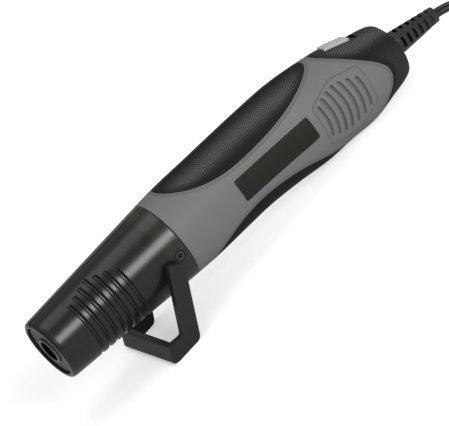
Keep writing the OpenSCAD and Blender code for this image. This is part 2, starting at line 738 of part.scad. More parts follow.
// The knob, with fine ridges across its top, at the nose end of its opening
module switch_knob() {
  ridges = 7;
  top = knob_rise - 0.4;
  color("lightgray") placed() on_ramp() translate([-switch_l / 2 + 0.2, 0, 0]) {
    translate([0, -knob_w / 2, -recess + 0.2]) cube([knob_l, knob_w, recess + top - 0.2]);
    for (i = [1:ridges]) translate([knob_l * i / (ridges + 1), 0, top]) rotate([90, 0, 0])
      cylinder(h = knob_w - 0.8, r = 0.4, center = true, $fn = 24);
  }
}

// Tapered strain relief with slots on four sides
module strain_relief() {
  step = (relief_l - 4) / relief_n;
  slot = step * 0.5;
  bore_l = 10;
  color("black") placed() at_tail() difference() {
    union() {
      translate([0, 0, -relief_root]) cylinder(h = relief_root + 1.5, r = relief_r);
      translate([0, 0, 1.5]) cylinder(h = relief_l - 1.5, r1 = relief_r, r2 = relief_end_r);
    }
    for (a = [0:90:270]) rotate(a) for (i = [0:relief_n - 1])
      translate([relief_core, -relief_core * 0.8, 2.6 + i * step]) cube([9, relief_core * 1.6, slot]);
    translate([0, 0, relief_l - bore_l]) cylinder(h = bore_l + 1, r = cord_r + 0.3);
  }
}

function unit(v) = v / norm(v);
// A round tube along a line of points, its ends square to the first and last steps
module tube(line, r, sides, in = undef, out = undef) {
  n = len(line);
  dir = [for (i = [0:n - 1]) i == 0 ? (in == undef ? unit(line[1] - line[0]) : in)
    : i == n - 1 ? (out == undef ? unit(line[i] - line[i - 1]) : out)
    : unit(unit(line[i + 1] - line[i]) + unit(line[i] - line[i - 1]))];
  points = [for (i = [0:n - 1]) let (u = unit(cross(dir[i], [0.012, 0.017, 1])), v = cross(u, dir[i]))
    for (j = [0:sides - 1]) line[i] + r * (u * cos(360 * j / sides) + v * sin(360 * j / sides))];
  walls = [for (i = [0:n - 2]) for (j = [0:sides - 1]) let (k = (j + 1) % sides, a = i * sides + j,
    b = i * sides + k) each [[a, b, b + sides], [a, b + sides, a + sides]]];
  start = [[for (j = [0:sides - 1]) sides - 1 - j]];
  stop = [[for (j = [0:sides - 1]) (n - 1) * sides + j]];
  polyhedron(points = points, faces = [for (f = concat(start, walls, stop)) [for (k = [len(f) - 1:-1:0]) f[k]]]);
}

module cord_lead() {
  color("black") tube(lead_line, cord_r, 8, out = heading(coil_start));
}

module cord_coil() {
  color("black") tube(coil_line, cord_r, 6, in = heading(coil_start), out = heading(coil_end));
}

module cord_tail() {
  color("black") tube(tail_line, cord_r, 8, in = heading(coil_end), out = [0, 1, 0]);
}

// A flat tie round the bundle of turns
module cord_tie() {
  inner = turn_r(reverse_at) - cord_r - 0.4;
  wide = coil_r + cord_r - inner;
  high = turn_step + cord_d + 2 * fit;
  color("dimgray") translate([coil_at[0] - tie_w / 2, coil_at[1] + inner - tie_t, 0]) rotate([90, 0, 90])
    linear_extrude(height = tie_w) difference() {
      square([wide + 2 * tie_t, high + 2 * tie_t]);
      translate([tie_t, tie_t]) square([wide, high]);
    }
}

plug_w = 25;
plug_h = 13.6;
plug_l = 22;
plug_neck = 9;
// Moulded plug with a short neck
module plug_body() {
  color("black") translate(plug_at) rotate([-90, 0, 0]) {
    cylinder(h = plug_neck + 1, r1 = cord_r + 1.4, r2 = cord_r + 2.6);
    hull() for (x = [-1, 1]) for (y = [-1, 1]) {
      translate([x * 7, y * 2.6, plug_neck]) cylinder(h = 2, r = 3, $fn = 24);
      translate([x * (plug_w / 2 - 3), y * (plug_h / 2 - 3), plug_neck + 7]) cylinder(h = plug_l - 7, r = 3, $fn = 24);
    }
  }
}

module plug_pins() {
  blade_gap = 12.7;
  blade_w = 6.3;
  blade_t = 1.5;
  blade_l = 17;
  color("silver") translate(plug_at) rotate([-90, 0, 0]) for (s = [-1, 1])
    translate([s * blade_gap / 2 - blade_t / 2, -blade_w / 2, plug_neck + plug_l]) cube([blade_t, blade_w, blade_l]);
}

nose_left();
nose_right();
front_disc();
outlet_tube();
mica_sleeve();
heater_core();
heater_wire();
thermal_fuse();
heater_holder();
left_shell();
right_shell();
top_grip();
bottom_grip();
tail_cap();
label_plate();
nose_screws();
shell_screws();
pivot_pins();
stand();
motor();
motor_mount();
motor_shaft();
fan();
circuit_board();
switch_body();
switch_knob();
strain_relief();
cord_lead();
cord_coil();
cord_tie();
cord_tail();
plug_body();
plug_pins();
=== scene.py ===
import math
import bmesh
import bpy
import numpy as np
from mathutils import Matrix, Vector


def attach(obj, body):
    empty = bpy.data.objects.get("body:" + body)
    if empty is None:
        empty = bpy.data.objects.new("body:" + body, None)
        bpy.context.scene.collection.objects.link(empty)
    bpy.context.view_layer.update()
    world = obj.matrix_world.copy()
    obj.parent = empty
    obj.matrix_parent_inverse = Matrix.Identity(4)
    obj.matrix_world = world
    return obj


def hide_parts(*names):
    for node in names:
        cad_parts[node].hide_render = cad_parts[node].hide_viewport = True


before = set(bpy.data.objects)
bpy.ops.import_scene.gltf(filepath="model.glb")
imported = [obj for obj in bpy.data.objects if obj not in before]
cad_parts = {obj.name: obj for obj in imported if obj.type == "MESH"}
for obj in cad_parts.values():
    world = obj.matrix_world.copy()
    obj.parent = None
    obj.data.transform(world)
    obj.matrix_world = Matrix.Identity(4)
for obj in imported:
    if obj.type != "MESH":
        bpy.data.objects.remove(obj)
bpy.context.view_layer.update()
print("frame loaded:", len(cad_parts), "nodes")

# The tool leans on its stand. In tool millimetres x runs back from the nose's rim and z up, and the labelled
# side faces -y
toolPlace = {"tilt": 3.80887, "baseX": -120.078, "baseZ": 43.4744}


def turned(degrees):
    return math.cos(math.radians(degrees)), math.sin(math.radians(degrees))


def toRow(p):
    # turns tool millimetres by the tilt about y, moves them to the base and gives metres
    p = np.asarray(p, float)
    c, s = turned(toolPlace["tilt"])
    x = toolPlace["baseX"] + p[..., 0] * c + p[..., 2] * s
    z = toolPlace["baseZ"] - p[..., 0] * s + p[..., 2] * c
    return np.stack([x, p[..., 1], z], -1) / 1000


def toTool(p):
    # the way back: metres in the frame as tool millimetres
    x, y, z = (np.asarray(p, float) * 1000 - [toolPlace["baseX"], 0, toolPlace["baseZ"]]).T
    c, s = turned(toolPlace["tilt"])
    return np.stack([x * c - z * s, y, x * s + z * c], -1)


def tone(*parts):
    # a screen tone from 0 to 255, one number for a grey, as the linear colour that renders to it
    c = np.array(parts if len(parts) == 3 else parts * 3) / 255
    linear = np.where(c <= 0.04045, c / 12.92, ((c + 0.055) / 1.055) ** 2.4)
    return (*linear.tolist(), 1.0)


def placed(name, data):
    # a new object with this data, linked into the scene
    thing = bpy.data.objects.new(name, data)
    bpy.context.scene.collection.objects.link(thing)
    return thing


# Camera

cameraFit = {"distance": 2.4, "sensor": 36, "mmPerPixel": 0.4975, "pixels": 449, "aside": 87.46,
             "above": 69.0, "right": (0.6608, -0.455, -0.5977), "up": (0.7133, 0.130, 0.6891)}


def makeCamera():
    f = cameraFit
    right = Vector(f["right"]).normalized()
    back = right.cross(Vector(f["up"])).normalized()
    up = back.cross(right)
    middle = Vector(toRow([0, 0, 0])) + (right * f["aside"] + up * f["above"]) / 1000
    data = bpy.data.cameras.new("photoCamera")
    data.sensor_width = f["sensor"]
    data.lens = f["sensor"] * f["distance"] * 1000 / (f["mmPerPixel"] * f["pixels"])
    data.clip_end = 50
    camera = placed("photoCamera", data)
    turn = Matrix((right, up, back)).transposed().to_4x4()
    camera.matrix_world = Matrix.Translation(middle + back * f["distance"]) @ turn
    bpy.context.scene.camera = camera


makeCamera()
print("camera placed")

# Meshes from arrays


def gridQuads(rows, cols, start=0, wrap=False, loop=False):
    # the corners of each cell of a grid; wrap closes every row, loop joins the last row to the first
    i, j = np.meshgrid(np.arange(rows - (not loop)), np.arange(cols - (not wrap)), indexing="ij")
    low, high = start + i * cols, start + (i + 1) % rows * cols
    right = (j + 1) % cols
    return np.stack([low + j, low + right, high + right, high + j], -1).reshape(-1, 4)


def tubeFaces(rows, cols):
    # the walls of a tube of rings and one face over each end
    end = np.arange(cols)[None]
    return [gridQuads(rows, cols, wrap=True), end[:, ::-1], (rows - 1) * cols + end]


def outwards(points, faces):
    # turns all faces round when the volume that they close comes out negative
    volume = 0.0
    for f in faces:
        q = points[f]
        for k in range(1, q.shape[1] - 1):
            volume += np.einsum("ij,ij->i", q[:, 0], np.cross(q[:, k], q[:, k + 1])).sum()
    return [f[:, ::-1] for f in faces] if volume < 0 else faces


def merged(mesh, near, flats=True):
    # corners closer than near become one, then flat neighbours are joined or slivers go
    work = bmesh.new()
    work.from_mesh(mesh)
    bmesh.ops.remove_doubles(work, verts=work.verts, dist=near)
    if flats:
        bmesh.ops.dissolve_limit(work, angle_limit=math.radians(1), verts=work.verts, edges=work.edges)
    else:
        bmesh.ops.dissolve_degenerate(work, dist=1e-6, edges=work.edges)
    work.to_mesh(mesh)
    work.free()
    mesh.shade_smooth()


def storeMask(mesh, key, values):
    layer = mesh.attributes.new(key, "FLOAT", "POINT")
    layer.data.foreach_set("value", np.asarray(values, np.float32).ravel())


def makePiece(name, points, faces, material, masks=None, uv=None, sharp=38):
    # points in metres, faces as arrays grouped by their number of corners
    points = np.asarray(points, float).reshape(-1, 3)
    mesh = bpy.data.meshes.new(name)
    mesh.from_pydata(points.tolist(), [], [c for f in outwards(points, faces) for c in f.tolist()])
    for key, values in (masks or {}).items():
        storeMask(mesh, key, values)
    if uv is not None:
        corner = np.zeros(len(mesh.loops), int)
        mesh.loops.foreach_get("vertex_index", corner)
        layer = mesh.uv_layers.new(name="skin")
        layer.data.foreach_set("uv", np.asarray(uv, np.float32).reshape(-1, 2)[corner].ravel())
    merged(mesh, 2e-6, flats=False)
    mesh.set_sharp_from_angle(angle=math.radians(sharp))
    if material:
        mesh.materials.append(material)
    return placed(name, mesh)


def borders(start, rows, cols):
    # numbers of the points along a grid's first and last row, then its first and last column
    row, column = start + np.arange(cols), start + np.arange(rows) * cols
    return [row, row + (rows - 1) * cols, column, column + cols - 1]


def closedSkin(outer, inner, step=1):
    # outer grid, an inner grid that has every step-th point, and the strips that join their borders
    rows, cols = outer.shape[:2]
    r, c = inner.shape[:2]
    base = rows * cols
    inside = gridQuads(r, c, base)[:, ::-1]
    strips = []
    for side, (o, n) in enumerate(zip(borders(0, rows, cols), borders(base, r, c))):
        k = np.arange(len(n) - 1)
        face = np.stack([o[k * step + m] for m in range(step + 1)] + [n[k + 1], n[k]], -1)
        strips.append(face[:, ::-1] if side in (0, 3) else face)
    points = np.concatenate([outer.reshape(-1, 3), inner.reshape(-1, 3)])
    return points, [gridQuads(rows, cols), inside, np.concatenate(strips)]


def padded(values, total, fill=0.0):
    # a mask for total points: these values first, then fill
    return np.append(values, np.full(total - np.size(values), fill))


def distanceToLine(points, line):
    # least distance from each point to a line of points, one stretch of the line at a time
    best = np.full(points.shape[:-1], 1e9)
    for a, b in zip(line[:-1], line[1:]):
        d = b - a
        t = np.clip((points - a) @ d / max(d @ d, 1e-12), 0, 1)
        best = np.minimum(best, np.linalg.norm(points - a - t[..., None] * d, axis=-1))
    return best


def lip(d, r):
    # quarter round of radius r along an edge: full depth at the edge, none from r on
    return r - np.sqrt(np.clip(r * r - np.clip(r - d, 0, r) ** 2, 0, None))


def cubic(t, a, b, u, v):
    # goes from a to b as t goes from 0 to 1, leaving with slope u and arriving with slope v
    return ((2 * t**3 - 3 * t**2 + 1) * a + (t**3 - 2 * t**2 + t) * u
            + (3 * t**2 - 2 * t**3) * b + (t**3 - t**2) * v)


def evaluated(piece):
    # the piece with its modifiers worked into its mesh
    made = bpy.data.meshes.new_from_object(piece.evaluated_get(bpy.context.evaluated_depsgraph_get()))
    old, piece.data = piece.data, made
    piece.modifiers.clear()
    bpy.data.meshes.remove(old)
    return piece


def combined(piece, others, operation):
    # joins the others' volumes to the piece or takes them out of it
    for other in others:
        solid = piece.modifiers.new("solid", "BOOLEAN")
        solid.operation, solid.solver, solid.object = operation, "EXACT", other
    bpy.context.view_layer.update()
    evaluated(piece)
    for other in others:
        bpy.data.objects.remove(other)


def bevelled(piece, width, segments):
    bevel = piece.modifiers.new("edges", "BEVEL")
    bevel.width, bevel.segments = width, segments
    bevel.limit_method, bevel.angle_limit = "ANGLE", math.radians(30)
    return bevel


def softened(node, width, material, segments=3, body="tool"):
    # a copy of a CAD solid with its corners merged, its flats joined and its edges rounded
    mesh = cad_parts[node].data.copy()
    mesh.materials.clear()
    mesh.materials.append(material)
    merged(mesh, 1e-6)
    piece = placed(node + "_skin", mesh)
    bevelled(piece, width, segments)
    piece.modifiers.new("flats", "WEIGHTED_NORMAL").keep_sharp = True
    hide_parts(node)
    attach(piece, body)
    return piece


def shaded(piece, key, rule):
    # works in the modifiers, then stores rule(points in tool millimetres) as the mask that a finish reads
    mesh = evaluated(piece).data
    at = np.empty(len(mesh.vertices) * 3)
    mesh.vertices.foreach_get("co", at)
    storeMask(mesh, key, rule(toTool(at.reshape(-1, 3))))
    return piece


# Parts of the materials


def put(tree, kind, inputs=None, **settings):
    node = tree.nodes.new("ShaderNode" + kind)
    for key, value in settings.items():
        setattr(node, key, value)
    for key, value in (inputs or {}).items():
        if isinstance(value, bpy.types.NodeSocket):
            tree.links.new(value, node.inputs[key])
        else:
            node.inputs[key].default_value = value
    return node


def mask(tree, key):
    return put(tree, "Attribute", attribute_name=key).outputs["Fac"]


def noise(tree, place, scale, detail, rough=0.5, bend=0.0):
    return put(tree, "TexNoise", {"Vector": place, "Scale": scale, "Detail": detail, "Roughness": rough,
                                  "Distortion": bend}).outputs["Fac"]


def between(tree, value, least, most, start=0.0, end=1.0):
    # a number that goes from least to most as the value goes from start to end
    return put(tree, "MapRange", {"Value": value, "From Min": start, "From Max": end, "To Min": least,
                                  "To Max": most}).outputs["Result"]


def newGroup(name, inputs, outputs):
    group = bpy.data.node_groups.new(name, "ShaderNodeTree")
    for key, value in inputs.items():
        group.interface.new_socket(key, in_out="INPUT", socket_type="NodeSocketFloat").default_value = value
    for key in outputs:
        group.interface.new_socket(key, in_out="OUTPUT", socket_type="NodeSocketFloat")
    return group, group.nodes.new("NodeGroupInput").outputs, group.nodes.new("NodeGroupOutput").inputs


def mouldedFinish():
    # fine spark-eroded grain, slow colour drift and faint scuffs, all from object coordinates
    group, given, out = newGroup("mouldedFinish", {"Grain": 2600.0, "Drift": 18.0},
                                 ["Height", "Drift", "Scuff"])
    place = put(group, "TexCoord").outputs["Object"]
    group.links.new(noise(group, place, given["Grain"], 3.0, 0.6), out["Height"])
    group.links.new(noise(group, place, given["Drift"], 2.0), out["Drift"])
    scuffs = noise(group, place, 150.0, 6.0, 0.7, 1.2)
    group.links.new(between(group, scuffs, 0.0, 1.0, 0.56, 0.74), out["Scuff"])
    return group


def dottedRubber():
    # rows of small pads, each row shifted by half a pad, on the skin's own map in pads
    group, given, out = newGroup("dottedRubber", {"Gap": 0.14}, ["Height"])
    place = put(group, "UVMap", uv_map="skin").outputs["UV"]
    pads = {"Vector": place, "Color1": (1, 1, 1, 1), "Color2": (0.86, 0.86, 0.86, 1), "Mortar": (0, 0, 0, 1),
            "Scale": 1.0, "Mortar Size": given["Gap"], "Mortar Smooth": 0.75, "Brick Width": 1.0,
            "Row Height": 1.0}
    brick = put(group, "TexBrick", pads, offset=0.5)
    group.links.new(brick.outputs["Color"], out["Height"])
    return group


def paintedShadeMask():
    # where painted shade goes: 1 in grooves, slots and seams and 0 elsewhere, as the piece's own mask says
    group, _, out = newGroup("paintedShadeMask", {}, ["Hollow"])
    group.links.new(mask(group, "painted_shade"), out["Hollow"])
    return group


groups = {"moulded": mouldedFinish(), "dots": dottedRubber(), "recess": paintedShadeMask()}


def useGroup(tree, key, inputs=None):
    return put(tree, "Group", inputs, node_tree=groups[key]).outputs


def mixed(tree, share, first, second):
    # colour between first and second by share, each of them a value or a socket
    return put(tree, "Mix", {0: share, 6: first, 7: second}, data_type="RGBA").outputs[2]


def newMaterial(name):
    material = bpy.data.materials.new(name)
    material.use_nodes = True
    return material, material.node_tree, material.node_tree.nodes["Principled BSDF"].inputs


def plugIn(tree, socket, colour, rough, height, strength, distance):
    # joins a colour, a roughness and a bump to the shader's sockets
    tree.links.new(colour, socket["Base Color"])
    tree.links.new(rough, socket["Roughness"])
    bump = put(tree, "Bump", {"Height": height, "Strength": strength, "Distance": distance})
    tree.links.new(bump.outputs["Normal"], socket["Normal"])


def mouldedPlastic(name, base, light, dark, rough, grain=2600.0, bump=0.25, shine=0.5):
    # moulded plastic: drift between two near tones, painted shade in recesses, scuffs that are paler and
    # rougher
    material, tree, socket = newMaterial(name)
    socket["Specular IOR Level"].default_value = shine
    parts = useGroup(tree, "moulded", {"Grain": grain})
    colour = mixed(tree, parts["Drift"], base, light)
    colour = mixed(tree, between(tree, parts["Scuff"], 0.0, 0.35), colour, light)
    colour = mixed(tree, useGroup(tree, "recess")["Hollow"], colour, dark)
    plugIn(tree, socket, colour, between(tree, parts["Scuff"], rough, rough + 0.14), parts["Height"], bump,
           0.00006)
    return material


def rubberSkin(name, pad, painted_sheen, gap, rough):
    # soft grip: pads with gaps painted dark as shade, and a painted highlight along the lit lines of the
    # shoulders
    material, tree, socket = newMaterial(name)
    socket["Specular IOR Level"].default_value = 0.12
    parts = useGroup(tree, "moulded", {"Grain": 1700.0})
    # painted shade in the gaps between the pads, painted highlight where the highlight mask is high
    height = put(tree, "Math", {0: useGroup(tree, "dots")["Height"], 1: mask(tree, "smoothEdge")},
                 operation="MAXIMUM").outputs[0]
    colour = mixed(tree, height, gap, mixed(tree, mask(tree, "painted_sheen"), pad, painted_sheen))
    colour = mixed(tree, parts["Drift"], colour, mixed(tree, 0.05, colour, tone(120, 120, 124)))
    # painted shade in seams
    colour = mixed(tree, useGroup(tree, "recess")["Hollow"], colour, tone(7, 7, 8))
    plugIn(tree, socket, colour, between(tree, parts["Scuff"], rough, rough + 0.12), height, 0.6, 0.00025)
    return material


def spunMetal(name, base, tint, rough, stretch=(60, 2600, 2600)):
    # drawn or turned metal: long fine marks along the tool, a warm tint in patches, painted shade where the
    # piece's recess shade mask is 1
    material, tree, socket = newMaterial(name)
    socket["Metallic"].default_value = 1.0
    place = put(tree, "TexCoord").outputs["Object"]
    tilt = (0, math.radians(toolPlace["tilt"]), 0)
    along = put(tree, "Mapping", {"Vector": place, "Rotation": tilt, "Scale": stretch})
    marks = noise(tree, along.outputs["Vector"], 1.0, 4.0)
    patches = mixed(tree, noise(tree, place, 90.0, 3.0), base, tint)
    # painted shade: near black in deep bores and screw crosses
    colour = mixed(tree, mask(tree, "painted_recess_shade"), patches, tone(22, 20, 18))
    plugIn(tree, socket, colour, between(tree, marks, rough * 0.7, rough * 1.4), marks, 0.15, 0.00003)
    return material


def speckled(name, base, fleck, rough, scale):
    # pressed or fired stuff: flecks of a second tone and a fine uneven skin
    material, tree, socket = newMaterial(name)
    place = put(tree, "TexCoord").outputs["Object"]
    flecks = put(tree, "TexVoronoi", {"Vector": place, "Scale": scale, "Randomness": 1.0}).outputs["Distance"]
    uneven = noise(tree, place, scale * 2, 4.0)
    plugIn(tree, socket, mixed(tree, between(tree, flecks, 0.0, 1.0, 0.15, 0.6), fleck, base),
           between(tree, uneven, rough, rough + 0.15), uneven, 0.3, 0.00008)
    return material


# the third tone of each moulded finish is its painted shade for grooves, slots and seams
finish = {
    "body": mouldedPlastic("greyBody", tone(114), tone(119), tone(50), 0.56, shine=0.3),
    "rim": mouldedPlastic("labelRim", tone(112, 112, 103), tone(119, 119, 110), tone(88, 88, 80), 0.45),
    # grip tones: the pads, the painted highlight of their lit lines, the painted shade in the gaps between
    # pads
    "grip": rubberSkin("softGrip", tone(21, 21, 23), tone(92, 92, 96), tone(5, 5, 6), 0.6),
    "stand": mouldedPlastic("standPlastic", tone(39, 39, 43), tone(44, 44, 48), tone(20, 20, 22), 0.38,
                            2200.0, 0.15, 0.2),
    "knob": mouldedPlastic("knobPlastic", tone(190), tone(202), tone(110), 0.42),
    "label": mouldedPlastic("labelPlate", tone(31, 31, 27), tone(34, 34, 30), tone(22, 22, 20), 0.5,
                            900.0, 0.08, 0.2),
    "lead": mouldedPlastic("leadSheath", tone(19, 19, 20), tone(26, 26, 27), tone(6, 6, 7), 0.36,
                           1500.0, 0.2),
    "relief": mouldedPlastic("reliefRubber", tone(34, 34, 35), tone(40, 40, 41), tone(6, 6, 7), 0.36,
                             1500.0, 0.2),
    "tie": mouldedPlastic("leadTie", tone(52, 52, 54), tone(62, 62, 64), tone(26, 26, 27), 0.55),
    "black": mouldedPlastic("innerBlack", tone(24, 24, 25), tone(34, 34, 35), tone(10), 0.5),
    "white": mouldedPlastic("innerWhite", tone(206, 204, 198), tone(218, 216, 210), tone(150, 148, 140), 0.5),
    "steel": spunMetal("outletSteel", tone(136, 133, 127), tone(112, 107, 98), 0.34),
    "screw": spunMetal("screwSteel", tone(84, 84, 86), tone(70, 70, 72), 0.45, (900, 900, 900)),
    "can": spunMetal("motorCan", tone(178, 180, 184), tone(160, 162, 168), 0.3, (2600, 60, 60)),
    "nickel": spunMetal("pinNickel", tone(206, 204, 196), tone(190, 184, 170), 0.2, (900, 900, 60)),
    "wire": spunMetal("heatingWire", tone(70, 64, 58), tone(52, 48, 45), 0.5, (900, 900, 900)),
    "mica": speckled("micaSheet", tone(60, 56, 46), tone(72, 66, 54), 0.5, 500.0),
    "ceramic": speckled("heaterCeramic", tone(208, 200, 184), tone(190, 180, 160), 0.7, 900.0),
    "disc": speckled("frontDisc", tone(90, 89, 83), tone(80, 79, 73), 0.5, 1100.0),
    "board": speckled("boardResin", tone(40, 84, 52), tone(52, 104, 64), 0.35, 300.0),
}


def noseResin():
    # dark heat-proof resin, a little see-through: the spigot behind it warms its rear band
    shine = {"plain": 0.36, "recess": 0.05}
    material = mouldedPlastic("noseResin", tone(25, 25, 24), tone(29, 29, 28), tone(8), 0.26, 1900.0, 0.07)
    tree = material.node_tree
    socket = tree.nodes["Principled BSDF"].inputs
    colour = socket["Base Color"].links[0].from_socket
    tree.links.new(mixed(tree, mask(tree, "band"), colour, tone(44, 41, 30)), socket["Base Color"])
    # grooves and seams hardly shine
    painted_shade = useGroup(tree, "recess")["Hollow"]
    tree.links.new(between(tree, painted_shade, shine["plain"], shine["recess"]), socket["Specular IOR Level"])
    return material


finish["nose"] = noseResin()
print("finishes made:", len(finish))

# Cord: the lead from the strain relief, its coil behind the tool, and its tail to the plug

cordForm = {
    "width": 5.2, "crease": 1.1, "creaseSpan": 14, "flat": 0.88, "sides": 28, "roll": -64, "rollRun": 45,
    "turns": 7.2, "radius": 41.3, "gap": 0.5, "start": -150.0, "middle": (214.0, 0.0), "height": 3.35,
    "stepsPerTurn": 48, "stepsPerStretch": 6,
    "lead": [[140.2, 0, 15.3], [148, 0, 13.8], [154.5, -0.7, 12.2], [160.6, -2.6, 10], [166.3, -5.8, 7.6],
             [170.5, -9.3, 5.5], [173.8, -13.1, 3.9]],
    "tail": [[233.3, -37.3, 10], [238.2, -33.9, 11.8], [242, -29.3, 13.7], [244.5, -23.8, 15.5],
             [245.5, -17.9, 17], [245.5, -11.3, 18.1], [245.5, -6.3, 18.6], [245.5, -2.8, 18.6]],
}


def smoothLine(points, parts):
    # the cubic line through the points whose slope at each is half the step between its neighbours
    p = np.asarray(points, float)
    m = np.gradient(p, axis=0)
    i = np.repeat(np.arange(len(p) - 1), parts)
    t = np.tile(np.arange(parts) / parts, len(p) - 1)[:, None]
    return np.concatenate([cubic(t, p[i], p[i + 1], m[i], m[i + 1]), p[-1:]])


def coilLine():
    # a spiral of two layers: the radius falls to the middle of the turns and grows again one layer up
    f = cordForm
    step, half = f["width"] + f["gap"], f["turns"] / 2
    t = np.linspace(0, f["turns"], round(f["turns"] * f["stepsPerTurn"]) + 1)
    r = f["radius"] - step * (half - np.abs(t - half))
    s = np.clip((t - half) * 2 + 0.5, 0, 1)
    a = np.radians(f["start"] + 360 * t)
    return np.stack([f["middle"][0] + r * np.cos(a), f["middle"][1] + r * np.sin(a),
                     f["height"] + step * s * s * (3 - 2 * s)], -1)


def sweepTube(line, section, roll):
    # carries a closed section along the line, its first axis level, turned by roll at each point
    along = np.gradient(line, axis=0)
    along /= np.linalg.norm(along, axis=1)[:, None]
    side = np.cross(along, [0, 0, 1.0])
    side /= np.linalg.norm(side, axis=1)[:, None]
    over = np.cross(side, along)
    c, s = np.cos(roll)[:, None], np.sin(roll)[:, None]
    side, over = side * c + over * s, over * c - side * s
    ring = line[:, None] + side[:, None] * section[None, :, :1] + over[:, None] * section[None, :, 1:]
    return ring, tubeFaces(*ring.shape[:2])


def makeCord():
    f = cordForm
    coil = coilLine()
    into = coil[0] + (coil[0] - coil[1]) / np.linalg.norm(coil[1] - coil[0]) * f["width"]
    away = coil[-1] + (coil[-1] - coil[-2]) / np.linalg.norm(coil[-1] - coil[-2]) * f["width"]
    lead = smoothLine([*f["lead"], into, coil[0]], f["stepsPerStretch"])[:-1]
    tail = smoothLine([coil[-1], away, *f["tail"]], f["stepsPerStretch"])[1:]
    line = np.concatenate([lead, coil, tail])
    run = np.concatenate([[0], np.cumsum(np.linalg.norm(np.diff(line, axis=0), axis=1))])
    a = np.radians(np.arange(f["sides"]) * 360 / f["sides"])
    # two lobes side by side: a circle pressed in at its top and bottom
    dent = sum(np.exp(-(((np.degrees(a) - m + 180) % 360 - 180) / f["creaseSpan"]) ** 2) for m in (90, 270))
    r = f["width"] / 2 - f["crease"] * dent
    section = np.stack([r * np.cos(a), r * f["flat"] * np.sin(a)], -1)
    # the lobes lie almost on edge at the strain relief and turn flat along the lead
    points, faces = sweepTube(line, section, math.radians(f["roll"]) * np.exp(-run / f["rollRun"]))
    # painted shade in the crease between the lobes
    painted_shade = np.tile(np.clip(dent, 0, 1), len(line))
    cord = makePiece("mains_lead", points / 1000, faces, finish["lead"], {"painted_shade": painted_shade}, sharp=60)
    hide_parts("cord_lead", "cord_coil", "cord_tail")
    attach(cord, "tool")
    print("cord length", round(run[-1] / 1000, 4))
    return cord, line, run[-1] / 1000


# core is half the width of the strain relief's square core, and the slots lie between first and last
reliefForm = {"root": (242.0, 0.0, -8.2), "droop": 7.0, "length": 28.0, "start": 1.5, "radius": 6.8,
              "endRadius": 4.4, "core": 3.7, "first": 1.9, "last": 26.8, "near": 0.1}


def reliefHollow(at):
    # painted shade where a point lies on a slot's floor: near the square core and under the tapered skin
    f = reliefForm
    c, s = turned(f["droop"])
    away = at - f["root"]
    h, down = away @ [c, 0, -s], away @ [-s, 0, -c]
    skin = f["radius"] + (f["endRadius"] - f["radius"]) * (h - f["start"]) / (f["length"] - f["start"])
    onCore = np.maximum(np.abs(down), np.abs(away[:, 1])) < f["core"] + f["near"]
    amongSlots = (h > f["first"]) & (h < f["last"])
    return onCore * amongSlots * np.clip((skin - np.hypot(down, away[:, 1])) / f["near"], 0, 1)


def makeCordPieces():
    cord, line, length = makeCord()
    tie = softened("cord_tie", 0.0003, finish["tie"])
    plug = softened("plug_body", 0.0008, finish["relief"])
    pins = softened("plug_pins", 0.0003, finish["nickel"])
    relief = shaded(softened("strain_relief", 0.0002, finish["relief"]), "painted_shade", reliefHollow)


makeCordPieces()
print("cord laid")

# Handle

handleForm = {
    "start": 83.0, "length": 159.0, "tail": 242.0, "wall": 3.0, "gripDepth": 1.4, "gap": 0.12, "edge": 0.42,
    "sections": [
        [0, 23.1, 1, 0], [0.09, 23.875, 0.9595, 0], [0.22, 23.95, 0.91, 0], [0.33, 23.95, 0.91, 0],
        [0.45, 24.643, 0.91, 0.902], [0.58, 25.6, 0.91, 2.624], [0.68, 24.8, 0.91, 3.854],
        [0.79, 23.6, 0.91, 6.068], [0.89, 19.706, 0.91, 7.544], [0.95, 17.582, 0.91, 7.995],
        [0.982, 14.986, 0.91, 8.159], [1, 9.4, 0.91, 8.2]],
    "topGrip": (93.2, 102.6), "lowGrip": (90.6, 101.0), "gripHalf": 59.0, "gripPeak": 0.4, "gripTip": 0.6,
    "gripGrow": 2.4, "pad": 1.45, "gripEdge": 0.5, "gripSeam": 0.42, "gripSeamDepth": 0.35,
    "capStart": 201.4, "tongue": 25.8, "tongueAt": -6, "tongueUp": 96, "tongueDown": 84,
    "tongueBend": (2, 1.2), "tailRound": 1.3, "tailDrop": 8.2, "seamDepth": 0.25, "seatSink": 0.15,
    "creaseAt": 1.75, "creaseDepth": 0.16, "creaseWidth": 0.32, "capCrease": 0.6,
    "screws": [(152.2, -1.0), (174.2, -13.0), (219.2, -11.0)], "wellRadius": 3.0, "wellDepth": 2.1,
}
# how much painted shade the creases, the band beside the grips and the cap, and the screw wells get, and over
# how many mm masks fade
shadeForm = {"crease": 0.3, "band": 0.16, "well": 0.6, "seam": 1.3, "fade": 0.3, "smoothBorder": 1.1,
             "smoothSeam": 0.8}
sections = np.array(handleForm["sections"])


def sectionCurve(x, column):
    # the smooth curve through the table's rows: cubic between rows, slopes from their neighbours
    at, value = sections[:, 0], sections[:, column]
    last = len(at) - 1
    f = np.clip((np.asarray(x, float) - handleForm["start"]) / handleForm["length"], 0, 1)
    i = np.clip(np.searchsorted(at, f, side="right") - 1, 0, last - 1)
    low, high = np.maximum(np.arange(last + 1) - 1, 0), np.minimum(np.arange(last + 1) + 1, last)
    slope = (value[high] - value[low]) / (at[high] - at[low])
    span = at[i + 1] - at[i]
    return cubic((f - at[i]) / span, value[i], value[i + 1], span * slope[i], span * slope[i + 1])


def onHandle(x, a, depth):
    # the handle's surface at x and angle a, in degrees from the labelled side upwards, sunk by depth
    h = sectionCurve(x, 1)
    w = h * sectionCurve(x, 2)
    r = np.radians(a)
    return np.stack([x + 0 * r, -(w - depth) * np.cos(r), (h - depth) * np.sin(r) - sectionCurve(x, 3)], -1)


def sideAngle(x, z):
    return np.degrees(np.arcsin(np.clip((z + sectionCurve(x, 3)) / sectionCurve(x, 1), -1, 1)))


